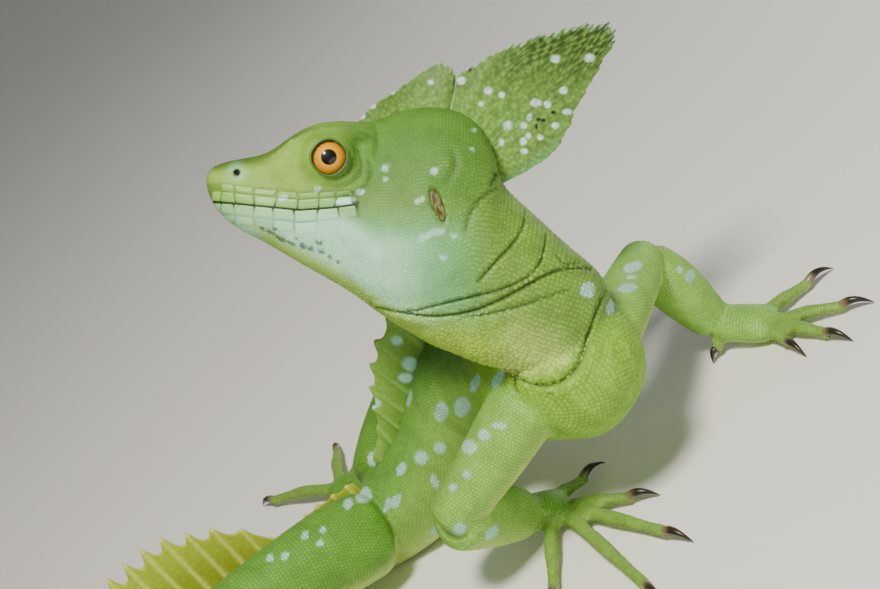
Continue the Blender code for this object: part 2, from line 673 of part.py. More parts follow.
def bend(first, last, lift):
    """The middle of a limb bone, pushed up a little, so that the limb bows as muscle does."""
    return (np.asarray(first, float) + np.asarray(last, float)) / 2 + (0, 0, lift)


def bone(name, first, last, lift, radii, past=0.0):
    """A limb bone's flesh from joint to joint, reaching a little past a joint that points outward."""
    first, last = np.asarray(first, float), np.asarray(last, float)
    last = last + unit(last - first) * past
    return limb(name, [first, bend(first, last, lift), last], radii, 9, 14)


def build_arm(word, trunk):
    joints = ARMS[word]
    shoulder, elbow, wrist, palm = (joints[key] for key in ("shoulder", "elbow", "wrist", "palm"))
    upper = bone(f"upper_arm_{word}", shoulder, elbow, -0.6, joints["upper_arm"], JOINT_REACH)
    fore = bone(f"forearm_{word}", elbow, wrist, 0.4, joints["forearm"])
    hand = paw(f"hand_{word}", wrist, palm, joints["tips"], HAND_THICK, HAND_HALF, HAND_ARCH)
    clear_of(upper, *trunk)
    clear_of(fore, upper, *trunk)
    clear_of(hand, fore, upper, *trunk)
    return [upper, fore, hand]


def build_leg(word, trunk):
    joints = LEGS[word]
    hip, knee, ankle, palm = (joints[key] for key in ("hip", "knee", "ankle", "palm"))
    thigh = bone(f"thigh_{word}", hip, knee, 1.0, THIGH, JOINT_REACH)
    shank = bone(f"shank_{word}", knee, ankle, 0.6, SHANK)
    foot = paw(f"foot_{word}", ankle, palm, joints["tips"], FOOT_THICK, FOOT_HALF, FOOT_ARCH)
    clear_of(thigh, *trunk)
    clear_of(shank, thigh, *trunk)
    clear_of(foot, shank, thigh, *trunk)
    return [thigh, shank, foot]


def build():
    for found in list(bpy.data.objects):
        bpy.data.objects.remove(found)
    half = GAP / 2
    chest = trunk_part("torso_front", 0.0, TORSO_CUT - half, 5.0, 24)
    loin = trunk_part("torso_rear", TORSO_CUT + half, TORSO_END - half, 5.0, 24)
    cuts = [*TAIL_CUTS, LENGTHS[-1]]
    tail = []
    for k, (first, last) in enumerate(zip(cuts, cuts[1:])):
        end = last if last == LENGTHS[-1] else last - half
        tail.append(trunk_part(f"tail_{k + 1}", first + half, end, 9.0 + 1.5 * k, 14 - k))
    neck = head_part("neck", NECK_CUT + 0.06, 21.0, 12, 26)
    clear_of(neck, chest)
    head, eyes = build_head()
    clear_of(head, chest)
    trunk = [chest, loin, tail[0], tail[1], neck, head]
    skins = [chest, loin, *tail, neck, head]
    thighs = []
    for word in ("right", "left"):
        skins += build_arm(word, trunk)
        leg = build_leg(word, trunk)
        thighs.append(leg[0])
        skins += leg
    front = clear_of(head_crest("crest_front", FRONT_CREST_ROOT, FRONT_CREST_EDGE, 15), head)
    rear = clear_of(head_crest("crest_rear", REAR_CREST_ROOT, REAR_CREST_EDGE, 23), head, front)
    sail = trunk_crest("back_sail_front", BACK_SAIL, 20.0, TORSO_CUT - half, 4, SAIL_LEAN)
    sail_end = trunk_crest("back_sail_rear", BACK_SAIL, TORSO_CUT + half, 92.0, 4, SAIL_LEAN)
    clear_of(sail, chest, loin, neck, head)
    crests = [front, rear, sail, clear_of(sail_end, loin, chest, sail)]
    spans = ((108.4, 164.8), (165.2, 229.8), (230.2, 299.8), (300.2, 335.0))
    for k, (first, last) in enumerate(spans):
        fin = trunk_crest(f"tail_crest_{k + 1}", TAIL_CREST, first, last, 3, TAIL_LEAN)
        crests.append(clear_of(fin, *tail[: k + 2], *thighs, crests[-1]))
    for parts, material in ((skins, SKIN), (crests, CREST), (eyes, IRIS)):
        for found in parts:
            finish(found, material)
    body = bpy.data.collections.new("green_basilisk")
    bpy.context.scene.collection.children.link(body)
    for found in list(bpy.context.scene.collection.objects):
        for vertex in found.data.vertices:
            vertex.co.x -= FOOTPRINT_CENTRE[0] * MM
            vertex.co.y -= FOOTPRINT_CENTRE[1] * MM
        body.objects.link(found)
        bpy.context.scene.collection.objects.unlink(found)


build()
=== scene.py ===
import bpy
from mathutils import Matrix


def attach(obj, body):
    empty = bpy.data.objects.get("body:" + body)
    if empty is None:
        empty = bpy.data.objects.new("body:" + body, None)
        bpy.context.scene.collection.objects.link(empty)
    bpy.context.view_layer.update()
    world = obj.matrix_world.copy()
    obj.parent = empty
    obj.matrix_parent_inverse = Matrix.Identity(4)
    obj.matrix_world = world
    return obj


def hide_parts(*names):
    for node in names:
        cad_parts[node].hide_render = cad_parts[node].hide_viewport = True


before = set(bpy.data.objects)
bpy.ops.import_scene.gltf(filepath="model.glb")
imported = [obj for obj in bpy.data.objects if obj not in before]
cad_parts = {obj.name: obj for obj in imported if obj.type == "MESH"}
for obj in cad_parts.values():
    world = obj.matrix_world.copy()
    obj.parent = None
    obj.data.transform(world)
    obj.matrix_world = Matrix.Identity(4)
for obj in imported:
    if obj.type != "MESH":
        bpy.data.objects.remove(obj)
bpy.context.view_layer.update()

import math

import bmesh
import bpy
import numpy as np
from mathutils import Matrix, Vector
from mathutils.bvhtree import BVHTree
from mathutils.kdtree import KDTree

# Camera, floor and studio
# A long-lens portrait from the animal's left: the camera looks a little down and is rolled, so that
# the floor that carries the animal slopes across the frame. One warm key, two wide soft fills.
FLOOR_MIDDLE = np.array([-69.602, -32.784, 0.0])
LOOK_DOWN, ROLL, DISTANCE = math.radians(24.0), math.radians(38.0), 340.0
AIM = np.array([0.0, 0.0, 67.5])
FRAME_WIDE, FRAME_HIGH, FOCAL_PIXELS = 880, 589, 1509.6
VIEW_WAY = np.array([0.0, math.cos(LOOK_DOWN), -math.sin(LOOK_DOWN)])
LEVEL_WAY = np.array([1.0, 0.0, 0.0])
STEEP_WAY = np.array([0.0, math.sin(LOOK_DOWN), math.cos(LOOK_DOWN)])
RIGHT_WAY = math.cos(ROLL) * LEVEL_WAY - math.sin(ROLL) * STEEP_WAY
RISE_WAY = math.sin(ROLL) * LEVEL_WAY + math.cos(ROLL) * STEEP_WAY
CAMERA_AT = AIM - DISTANCE * VIEW_WAY


def metres(points):
    """Millimetres of the pose, whose origin is under the neck, as metres of the part's frame."""
    return (np.asarray(points, float) - FLOOR_MIDDLE) * 0.001


def millimetres(points):
    return np.asarray(points, float) * 1000.0 + FLOOR_MIDDLE


def linear(code):
    """An sRGB hex colour as linear red, green and blue."""
    value = np.array([int(code[k : k + 2], 16) for k in (1, 3, 5)]) / 255.0
    return np.where(value <= 0.04045, value / 12.92, ((value + 0.055) / 1.055) ** 2.4)


def node(tree, kind, settings=(), links=()):
    """A shader node with its settings and links. Names and numbers are sockets, other names are
    properties; a link's value is a (node, socket) pair."""
    made = tree.nodes.new(kind)
    for key, value in dict(settings).items():
        if isinstance(key, str) and hasattr(made, key):
            setattr(made, key, value)
        else:
            made.inputs[key].default_value = value
    for key, (source, socket) in dict(links).items():
        tree.links.new(source.outputs[socket], made.inputs[key])
    return made


def new_material(name):
    made = bpy.data.materials.new(name)
    made.use_nodes = True
    return made, made.node_tree, made.node_tree.nodes["Principled BSDF"]


def put(name, points, faces, material):
    """A smooth-shaded mesh object from points in the pose's millimetres and a face array or list."""
    mesh = bpy.data.meshes.new(name)
    mesh.from_pydata(metres(points).tolist(), [], faces if isinstance(faces, list) else faces.tolist())
    mesh.materials.append(material)
    mesh.shade_smooth()
    mesh.update()
    made = bpy.data.objects.new(name, mesh)
    bpy.context.scene.collection.objects.link(made)
    return made


camera = bpy.data.objects.new("camera", bpy.data.cameras.new("camera"))
camera.data.sensor_width = 36.0
camera.data.lens = 36.0 * FOCAL_PIXELS / FRAME_WIDE
camera.data.clip_start = 0.01
camera.matrix_world = Matrix(
    [[*row, place] for row, place in zip(np.array([RIGHT_WAY, RISE_WAY, -VIEW_WAY]).T, metres(CAMERA_AT))]
    + [[0, 0, 0, 1]]
)
bpy.context.scene.collection.objects.link(camera)
bpy.context.scene.camera = camera


def area_light(name, offset, size, watts, colour):
    """A square lamp that looks at the animal: offset is along the view's right, rise and toward the eye."""
    place = AIM + offset[0] * RIGHT_WAY + offset[1] * RISE_WAY - offset[2] * VIEW_WAY
    lamp = bpy.data.lights.new(name, "AREA")
    lamp.size, lamp.energy, lamp.color = size, watts, linear(colour)
    made = bpy.data.objects.new(name, lamp)
    turned = Vector(AIM - place).to_track_quat("-Z", "Y").to_matrix().to_4x4()
    made.matrix_world = Matrix.Translation(metres(place)) @ turned
    bpy.context.scene.collection.objects.link(made)


area_light("key_light", (-230, 280, 450), 0.12, 5.6, "#fffaf0")
area_light("fill_light", (280, -200, 460), 0.5, 2.2, "#f4f8ff")
area_light("rim_light", (260, 380, -420), 0.4, 1.8, "#f2f6ff")
world = bpy.data.worlds.new("studio")
world.use_nodes = True
world.node_tree.nodes["Background"].inputs["Color"].default_value = (*linear("#dfe3e2"), 1.0)
world.node_tree.nodes["Background"].inputs["Strength"].default_value = 0.28
bpy.context.scene.world = world

# Matt paint: a plain pale ground with hardly a highlight, on which the animal's shadow shows
floor_paint, tree, shader = new_material("matt_studio_paint")
grain = node(tree, "ShaderNodeTexNoise", {"Scale": 60.0, "Detail": 4.0})
shade = node(tree, "ShaderNodeMapRange", {"To Min": 0.50, "To Max": 0.54}, {"Value": (grain, "Fac")})
tree.links.new(shade.outputs["Result"], shader.inputs["Roughness"])
shader.inputs["Base Color"].default_value = (*linear("#e8e5de"), 1.0)
FLOOR_REACH = 4000.0
corners = FLOOR_REACH * np.array([(-1, -1, 0), (1, -1, 0), (1, 1, 0), (-1, 1, 0)])
studio_floor = put("studio_floor", corners + FLOOR_MIDDLE, [(0, 1, 2, 3)], floor_paint)

# Posture
# The middle line of the trunk and tail, and the head's own directions, in the pose's millimetres, as
# in the part's source: chest low, neck risen and bent back, tail curled round on the floor.
BREAST, CHEST, MID_BACK = (23.5, -25.3, 41.0), (15.1, -12.7, 39.6), (-7.0, 22.5, 30.5)
LOIN, HIP = (-25.0, 28.0, 20.0), (-45.3, 33.3, 13.0)
TAIL_ROUTE = (
    (-78, 41), (-112, 38), (-150, 26), (-184, 4), (-208, -28), (-218, -66), (-212, -105),
    (-192, -138), (-162, -162), (-127, -172), (-92, -168), (-60, -155), (-34, -135),
)
TRUNK_SIZES = np.array([
    # mm along, half width, above, below
    (0.0, 2.5, 2.5, 2.5), (2.5, 8.0, 8.0, 8.0), (7.0, 13.0, 13.5, 13.5), (13.5, 16.5, 17.0, 17.5),
    (30.0, 17.0, 18.0, 18.5), (55.0, 16.5, 17.5, 19.0), (78.0, 13.5, 13.2, 16.0), (104.0, 10.8, 9.8, 13.2),
    (122.0, 9.4, 9.6, 11.0), (160.0, 7.6, 9.4, 9.2), (220.0, 5.6, 7.0, 6.6), (300.0, 3.9, 4.8, 4.4),
    (400.0, 2.5, 2.9, 2.7), (500.0, 1.5, 1.7, 1.5), (585.0, 0.9, 0.9, 0.8),
])
UP = np.array([0.0, 0.0, 1.0])


def unit(vector):
    vector = np.asarray(vector, float)
    return vector / np.maximum(np.linalg.norm(vector, axis=-1, keepdims=True), 1e-9)


def eased(value, low, high):
    """0 below low, 1 above high, and a smooth step between."""
    share = np.clip((np.asarray(value, float) - low) / (high - low), 0, 1)
    return share * share * (3 - 2 * share)


def smooth(knots, values, at):
    """A natural cubic through the values at the knots, read at the places asked for."""
    knots, values, at = (np.asarray(a, float) for a in (knots, values, at))
    flat = values.reshape(len(knots), -1)
    step = np.diff(knots)
    system = np.eye(len(knots))
    right = np.zeros_like(flat)
    slope = np.diff(flat, axis=0) / step[:, None]
    for k in range(1, len(knots) - 1):
        system[k, k - 1 : k + 2] = step[k - 1], 2 * (step[k - 1] + step[k]), step[k]
        right[k] = 6 * (slope[k] - slope[k - 1])
    bend = np.linalg.solve(system, right)
    k = np.clip(np.searchsorted(knots, at, side="right") - 1, 0, len(step) - 1)
    a, b = (knots[k + 1] - at)[:, None], (at - knots[k])[:, None]
    h = step[k][:, None]
    found = (bend[k] * a**3 + bend[k + 1] * b**3) / (6 * h)
    found += (flat[k] / h - bend[k] * h / 6) * a + (flat[k + 1] / h - bend[k + 1] * h / 6) * b
    return found.reshape(len(at), *values.shape[1:])


def length_to(points):
    """How far along a line of points each of them lies."""
    return np.r_[0, np.cumsum(np.linalg.norm(np.diff(points, axis=0), axis=1))]


def along(points):
    """A smooth line through the points, about four places to a millimetre, and the length up to each."""
    points = np.asarray(points, float)
    chords = length_to(points)
    line = smooth(chords, points, np.linspace(0, chords[-1], int(chords[-1] * 4) + 2))
    return line, length_to(line)


def on_line(at, lengths, line):
    """A line's places, or other columns that go with its lengths, at the lengths asked for."""
    return np.stack([np.interp(at, lengths, column) for column in line.T], axis=-1)


def trunk_sizes(at):
    """Half width, height above and height below the middle line, at lengths along the trunk."""
    return on_line(at, TRUNK_SIZES[:, 0], TRUNK_SIZES[:, 1:])


def trunk_line():
    """The middle line, let down from the hip on so that the tail lies with its underside on the floor."""
    flat = np.array([(x, y, 0.0) for x, y in TAIL_ROUTE])
    line, lengths = along(np.vstack([[BREAST, CHEST, MID_BACK, LOIN, HIP], flat]))
    settle = eased(lengths, 85.0, 115.0)
    line[:, 2] = line[:, 2] * (1 - settle) + (trunk_sizes(lengths)[:, 2] - 0.7) * settle
    return line, lengths


LINE, LENGTHS = trunk_line()


def trunk_frame(at):
    """Centre, way to the animal's right and way up, at lengths along the trunk."""
    at = np.asarray(at, float)
    forward = unit(on_line(at - 1.5, LENGTHS, LINE) - on_line(at + 1.5, LENGTHS, LINE))
    side = unit(np.cross(forward, UP))
    return on_line(at, LENGTHS, LINE), side, np.cross(side, forward)


def trunk_surface(at, turns):
    """Ring by ring: centre + right * cos(turn) * half width + up * sin(turn) * height above or below."""
    at, turns = np.broadcast_arrays(np.asarray(at, float), np.asarray(turns, float))
    centre, side, up = trunk_frame(at)
    half, above, below = np.moveaxis(trunk_sizes(at), -1, 0)
    out = np.sign(np.cos(turns)) * np.abs(np.cos(turns)) ** 0.95 * half
    rise = np.sign(np.sin(turns)) * np.abs(np.sin(turns)) ** 0.95 * np.where(np.sin(turns) > 0, above, below)
    return centre + out[..., None] * side + rise[..., None] * up


HEAD_ORIGIN = np.array([11.9, -3.2, 85.2])
HEAD_YAW = math.radians(4.0)
HEAD_LINES = np.array([
    # crown x and z, throat x and z, half width, shift to the left, fullness low down
    (50.9, 6.6, 50.6, 3.4, 1.4, 0.0, 0.0), (49.8, 8.2, 49.9, 1.6, 3.3, 0.0, 0.0),
    (47.4, 9.4, 47.8, -1.6, 5.0, 0.0, 0.0), (43.0, 10.4, 43.6, -5.0, 6.4, 0.0, 0.02),
    (38.0, 11.6, 38.8, -7.5, 7.6, 0.0, 0.04), (34.0, 14.2, 34.6, -9.9, 8.7, 0.0, 0.0),
    (29.5, 17.0, 30.2, -12.5, 9.8, 0.0, -0.02), (25.0, 18.4, 25.4, -15.2, 10.6, 0.0, 0.0),
    (20.0, 18.6, 20.8, -17.8, 11.4, 0.0, 0.06), (14.5, 18.8, 16.0, -21.0, 12.4, 0.0, 0.10),
    (8.5, 21.0, 11.0, -24.6, 13.6, 0.0, 0.12), (3.0, 21.8, 6.0, -27.6, 14.4, 0.0, 0.10),
    (-2.5, 21.2, 1.5, -30.1, 14.5, 0.0, 0.06), (-7.5, 18.4, -2.5, -31.6, 14.0, 0.0, 0.03),
    (-10.8, 13.2, -5.5, -32.8, 13.5, 0.0, 0.0), (-12.6, 6.8, -8.0, -33.8, 13.0, 0.0, 0.0),
    (-16.0, 2.4, -10.0, -34.4, 12.8, 0.0, 0.0), (-20.5, -1.6, -12.5, -34.8, 12.8, -0.5, 0.0),
    (-25.5, -6.0, -15.5, -35.4, 13.0, -1.5, 0.0), (-31.0, -10.4, -19.0, -36.5, 13.0, -3.0, 0.0),
    (-36.0, -15.0, -23.5, -38.5, 12.5, -5.0, 0.0), (-39.0, -22.0, -28.5, -42.0, 10.5, -7.5, 0.0),
])
HEAD_SWELLINGS = (
    # x, z, reach along, reach up, how far out: jowl, temple, hollow before the eye, behind the ear
    (3.0, -5.0, 13.0, 11.0, 1.6), (-4.5, 11.0, 8.0, 7.5, 1.3), (37.0, 4.0, 6.0, 4.0, -0.9),
    (-13.5, 0.0, 5.0, 14.0, -0.9),
)
snout_way, left_way = -RIGHT_WAY, -VIEW_WAY
HEAD_AXES = np.array([
    snout_way * math.cos(HEAD_YAW) + left_way * math.sin(HEAD_YAW),
    left_way * math.cos(HEAD_YAW) - snout_way * math.sin(HEAD_YAW),
    RISE_WAY,
])


def from_head(points):
    return HEAD_ORIGIN + np.asarray(points, float) @ HEAD_AXES


def to_head(points):
    return (np.asarray(points, float) - HEAD_ORIGIN) @ HEAD_AXES.T


def head_surface(lines, turns):
    """Points in the head's frame. A line is a section from crown to throat, and a turn goes round it
    from the crown (0) down the left side to the throat (pi): middle + half span * cos(turn), and out
    sideways by half width * sin(turn)^0.9, fuller low down, plus the swellings."""
    lines, turns = np.broadcast_arrays(np.asarray(lines, float), np.asarray(turns, float))
    table = smooth(np.arange(len(HEAD_LINES)), HEAD_LINES, lines.ravel()).reshape(*lines.shape, 7)
    crown, throat = table[..., 0:2], table[..., 2:4]
    half, shift, low = np.moveaxis(table[..., 4:], -1, 0)
    rise, out = np.cos(turns), np.sin(turns)
    place = (crown + throat) / 2 + (crown - throat) / 2 * rise[..., None]
    across = np.sign(out) * np.abs(out) ** 0.9 * half * (1 - low * 2 * rise)
    side = np.sign(out) * np.minimum(1, np.abs(out) * 2)
    for x, z, reach, tall, swell in HEAD_SWELLINGS:
        off = ((place[..., 0] - x) / reach) ** 2 + ((place[..., 1] - z) / tall) ** 2
        across = across + side * swell * np.exp(-off)
    return np.stack([place[..., 0], across + shift, place[..., 1]], axis=-1)


# Limbs
# Two bones and a long-toed hand or foot each. Every part is a tube along a line through its joints,
# rounded at both ends, that sinks into the one before it; the skin closes over all of them.
ARMS = {
    "right": {
        "shoulder": (2.9, -13.8, 41.0), "elbow": (-29.7, -11.0, 26.5), "wrist": (-16.1, 1.0, 7.0),
        "palm": (-8.5, -1.0, 3.5),
        "upper_arm": (8.2, 8.0, 7.3, 6.4, 5.4), "forearm": (7.6, 7.9, 7.6, 6.9, 5.7),
        "tips": ((6.9, 7.9), (11.8, -17.5), (10.5, -39.1), (-2.6, -50.9), (-24.1, -30.2)),
    },
    "left": {
        "shoulder": (23.5, -9.5, 38.6), "elbow": (44.7, 18.4, 33.4), "wrist": (50.3, 17.5, 6.6),
        "palm": (59.1, 7.6, 3.3),
        "upper_arm": (8.0, 7.6, 6.9, 6.2, 5.2), "forearm": (5.4, 6.6, 6.8, 6.0, 5.0),
        "tips": ((43.3, 13.1), (59.5, -9.9), (69.4, -16.5), (80.4, -9.3), (82.2, 13.6)),
    },
}
LEGS = {
    "right": {
        "hip": (-48.0, 27.6, 14.0), "knee": (-90.8, 12.0, 28.8), "ankle": (-121.0, -20.0, 6.6),
        "palm": (-127.0, -31.0, 4.0),
        "tips": ((-111.0, -41.0), (-118.0, -60.0), (-133.0, -72.0), (-154.0, -73.0), (-150.0, -37.0)),
    },
    "left": {
        "hip": (-42.5, 39.8, 14.0), "knee": (-5.4, 73.6, 28.2), "ankle": (-47.0, 59.0, 6.6),
        "palm": (-56.0, 76.0, 4.0),
        "tips": ((-37.0, 84.0), (-37.0, 99.0), (-53.0, 108.0), (-83.0, 107.0), (-81.0, 77.0)),
    },
}
THIGH, SHANK = (11.0, 11.4, 10.4, 9.2, 8.2), (7.8, 8.0, 6.8, 5.2, 4.3)
HAND_HALF, FOOT_HALF = (5.0, 5.3, 5.9, 5.2), (4.5, 4.8, 5.5, 4.8)
# Height of a palm or sole as a share of its width, at the wrist and at the knuckles
PALM_FLAT = (0.92, 0.50)
HAND_THICK, FOOT_THICK = 1.75, 1.85
HAND_ARCH, FOOT_ARCH = (0.5, 0.9, 1.2, 1.2, 0.8), (0.6, 1.4, 2.0, 2.2, 1.2)
JOINT_REACH = 2.6
# How far back toward the wrist each digit is rooted, as a share of the palm
DIGIT_ROOTS = (0.80, 0.10, -0.10, 0.05, 0.35)
CLAW = 6.8
# A short digit's claw, as a share of the digit
SHORT_CLAW = 0.42


def tube_frame(points):
    """Way along a line, and two ways across it that are carried along without a twist."""
    way = unit(np.gradient(points, axis=0))
    aside = [unit(np.cross(way[0], UP))]
    for ahead in way[1:]:
        aside.append(unit(aside[-1] - ahead * (aside[-1] @ ahead)))
    aside = np.array(aside)
    return way, aside, np.cross(aside, way)


def tube_rings(points, radii, turns, flat=1.0):
    """Rings round a line: place + radius * (cos(turn) * aside + flat * sin(turn) * over)."""
    _, aside, over = tube_frame(points)
    over = over * np.broadcast_to(flat, len(points))[:, None]
    spread = np.cos(turns)[None, :, None] * aside[:, None] + np.sin(turns)[None, :, None] * over[:, None]
    return points[:, None] + np.asarray(radii)[:, None, None] * spread


def round_end(at, reach, least):
    """How a tube thickens from its end: the square root of 1 - (1 - at / reach)^2, never quite 0."""
    return np.sqrt(np.clip(1 - (1 - np.clip(at / reach, least, 1)) ** 2, 0, 1))


def bone_line(joints, lift, radii, count):
    """Places and radii along a limb bone that bows by the lift, with both ends rounded off."""
    first, last = (np.asarray(j, float) for j in joints)
    line, lengths = along([first, (first + last) / 2 + (0, 0, lift), last])
    at = np.r_[0.0, 0.01, 0.03, 0.06, np.linspace(0.1, 0.9, count), 0.94, 0.97, 0.99, 1.0]
    place = on_line(at * lengths[-1], lengths, line)
    thick = smooth(np.linspace(0, 1, len(radii)), np.asarray(radii, float), at)
    return place, thick * (round_end(at, 0.09, 0.03) * round_end(1 - at, 0.08, 0.04))


def digit_line(palm, palm_half, tip, thick, arch, count=16):
    """A finger or toe from the palm to the root of its claw: it arches, and swells at each joint."""
    toward = unit(np.array([*tip, 0.0]) - np.array([*palm[:2], 0.0]))
    base = palm + toward * palm_half * 0.45
    base[2] = max(thick, palm[2] - 0.6)
    tip = np.array([*tip, 0.4])
    way = unit(tip - base)
    claw = min(CLAW, SHORT_CLAW * np.linalg.norm(tip - base))
    share = np.linspace(0, 1, count)
    line = base + (tip - way * claw - base) * share[:, None]
    line[:, 2] += arch * np.sin(np.pi * share) + (thick * 1.15 - line[:, 2]) * share**2
    return line, thick * (1.14 - 0.36 * share) * (1 + 0.07 * np.cos(share * 4 * np.pi)), way * claw


def ring_faces(rings_n, count, start=0, joined=False):
    """Four-sided faces between rings of points. Joined rings meet the first one again after the last."""
    i, j = np.meshgrid(np.arange(rings_n - 1 + joined), np.arange(count), indexing="ij")
    here, there, n = start + i * count, start + (i + 1) % rings_n * count, (j + 1) % count
    return np.stack([here + j, here + n, there + n, there + j], axis=-1).reshape(-1, 4)


def closed(rings):
    """Points and faces of a closed surface through rings of equal count, with a fan at each end."""
    rings_n, count = rings.shape[:2]
    points = np.vstack([rings.reshape(-1, 3), rings[0].mean(axis=0), rings[-1].mean(axis=0)])
    k = np.arange(count)
    n, last_ring = (k + 1) % count, (rings_n - 1) * count
    first = np.stack([np.full(count, rings_n * count), n, k], axis=1)
    last = np.stack([np.full(count, rings_n * count + 1), last_ring + k, last_ring + n], axis=1)
    return points, ring_faces(rings_n, count).tolist() + first.tolist() + last.tolist()


# Skin
# One continuous scaly hide over head, trunk, limbs and tail. The tubes and sections are merged by a
# voxel remesh, softened, then folded and swollen where the neck bends and muscles show.
HEAD, TRUNK, ARM, LEG, TOES = range(5)
VOXEL = 0.75
flesh, flesh_region, flesh_up = [], [], []
scale_rows = []


def grow(rings, region, up):
    """A closed part of the flesh, with the region it belongs to and which way is its back."""
    points, faces = closed(rings)
    flesh.append((points, faces))
    flesh_region.append(np.full(len(points), region))
    flesh_up.append(np.broadcast_to(up, points.shape) if np.ndim(up) == 1 else np.vstack([up, up[:2]]))


def around(count):
    return 2 * np.pi * (np.arange(count) + 0.5) / count


def rounded_line(points, radii, window=19):
    """Places every half millimetre down a jointed line, with its corners and radii averaged round."""
    reach = np.r_[0, np.cumsum(np.linalg.norm(np.diff(points, axis=0), axis=1) + 1e-6)]
    at = np.arange(0, reach[-1], 0.5)
    dense = np.stack([np.interp(at, reach, column) for column in np.column_stack([points, radii]).T], axis=1)
    edge = window // 2
    padded = np.pad(dense, ((edge, edge), (0, 0)), mode="reflect", reflect_type="odd")
    even = np.stack([np.convolve(column, np.ones(window) / window, "valid") for column in padded.T], axis=1)
    return even[:, :3], even[:, 3]


stations = np.r_[
    0.0, 0.7, 1.6, 2.5, 4.5, 7.0, 10.0, np.arange(12.0, 240.0, 2.0), np.arange(240.0, LENGTHS[-1], 3.0)
]
grow(trunk_surface(stations[:, None], around(72)[None]), TRUNK, UP)
lines = np.linspace(0.0, 21.0, 150)
grow(from_head(head_surface(lines[:, None], around(96)[None])), HEAD, HEAD_AXES[2])

# The lids' dome over each eyeball, and the brow ridge that runs from the snout over it
EYE_AT = np.array([24.4, 7.7, 9.7])
EYE_RADIUS, LID_RADIUS, LID_OPENING, LID_SUNK = 5.1, 6.3, 3.6, 0.5
BROW = np.array([
    (37.0, 4.6, 10.0), (32.0, 6.4, 13.2), (26.0, 8.2, 15.2), (19.5, 8.8, 15.2), (13.5, 5.6, 12.6),
])


def ball_places(polar, turns):
    """Places on a ball of radius 1 whose pole looks out sideways: polar is the angle from that pole."""
    out, over = np.sin(polar)[:, None], np.cos(polar)[:, None]
    return np.stack([out * np.cos(turns), over + 0 * turns, out * np.sin(turns)], axis=-1)


dome = ball_places(np.linspace(0.03, np.pi - 0.03, 24), around(36))
for flank in (1, -1):
    flip = (1, flank, 1)
    grow(from_head((EYE_AT - (0, LID_SUNK, 0) + dome * LID_RADIUS) * flip), HEAD, HEAD_AXES[2])
    line, lengths = along(BROW * flip)
    at = np.linspace(0, 1, 24)
    place = on_line(at * lengths[-1], lengths, line)
    grow(tube_rings(from_head(place), 0.2 + 1.25 * np.sin(np.pi * at) ** 0.7, around(14)), HEAD, HEAD_AXES[2])

# From joint to joint: how far a bone bows upward in mm, and its radii
ARM_BONES = (("shoulder", "elbow", -0.6, "upper_arm"), ("elbow", "wrist", 0.4, "forearm"))
LEG_BONES = (("hip", "knee", 1.0, THIGH), ("knee", "ankle", 0.6, SHANK))
digits = []
for limbs, bones, half, thick, arches, region in (
    (ARMS, ARM_BONES, HAND_HALF, HAND_THICK, HAND_ARCH, ARM),
    (LEGS, LEG_BONES, FOOT_HALF, FOOT_THICK, FOOT_ARCH, LEG),
):
    for joints in limbs.values():
        middle, reach = [], []
        for first, last, lift, radii in bones:
            radii = joints.get(radii) if isinstance(radii, str) else radii
            start, end = np.array(joints[first]), np.array(joints[last])
            end = end + unit(end - start) * JOINT_REACH * (last in ("elbow", "knee"))
            place, thickness = bone_line((start, end), lift, radii, 22)
            grow(tube_rings(place, thickness, around(36)), region, UP)
            middle.append(place)
            reach.append(np.interp(np.linspace(0, 1, len(place)), np.linspace(0, 1, len(radii)), radii))
        wrist, palm = (np.asarray(joints[key], float) for key in (bones[1][1], "palm"))
        line, lengths = along([wrist, (wrist + palm) / 2 + (0, 0, 0.4), palm + (palm - wrist) * 0.25])
        at = np.linspace(0, 1, 18)
        place = on_line(at * lengths[-1], lengths, line)
        ends = round_end(np.minimum(at, 1 - at), 0.12, 0.05)
        thickness = np.interp(at, np.linspace(0, 1, 4), half)
        grow(tube_rings(place, thickness * ends, around(28), np.interp(at, (0, 1), PALM_FLAT)), region, UP)
        middle.append(place)
        reach.append(thickness)
        scale_rows.append((*rounded_line(np.vstack(middle), np.concatenate(reach)), region))
        for tip, arch, back in zip(joints["tips"], arches, DIGIT_ROOTS):
            place, thickness, way = digit_line(palm + (wrist - palm) * back, half[2], tip, thick, arch)
            grow(tube_rings(place, thickness, around(14)), TOES, UP)
            scale_rows.append((place, thickness, TOES))
            digits.append((place, thickness, way))

counts = np.cumsum([0] + [len(points) for points, _ in flesh])
joined_faces = [[i + start for i in face] for (_, faces), start in zip(flesh, counts) for face in faces]
flesh_points = np.vstack([points for points, _ in flesh])
flesh_points[:, 2] = np.maximum(flesh_points[:, 2], 0.0)
skin_tree = KDTree(len(flesh_points))
for k, point in enumerate(flesh_points):
    skin_tree.insert(point, k)
skin_tree.balance()
flesh_region, flesh_up = np.concatenate(flesh_region), np.vstack(flesh_up)

hide, tree, shader = new_material("scaly_hide")
skin = put("skin", flesh_points, joined_faces, hide)
merge = skin.modifiers.new("merge", "REMESH")
merge.mode, merge.voxel_size = "VOXEL", VOXEL * 0.001
soften = skin.modifiers.new("soften", "SMOOTH")
soften.factor, soften.iterations = 0.5, 5
bpy.context.view_layer.update()
skin_mesh = bpy.data.meshes.new_from_object(skin.evaluated_get(bpy.context.evaluated_depsgraph_get()))
skin.modifiers.clear()
skin.data = skin_mesh


def mesh_points(mesh):
    found = np.empty(len(mesh.vertices) * 3)
    mesh.vertices.foreach_get("co", found)
    return millimetres(found.reshape(-1, 3))


def mesh_normals(mesh):
    found = np.empty(len(mesh.vertices) * 3)
    mesh.vertex_normals.foreach_get("vector", found)
    return found.reshape(-1, 3)


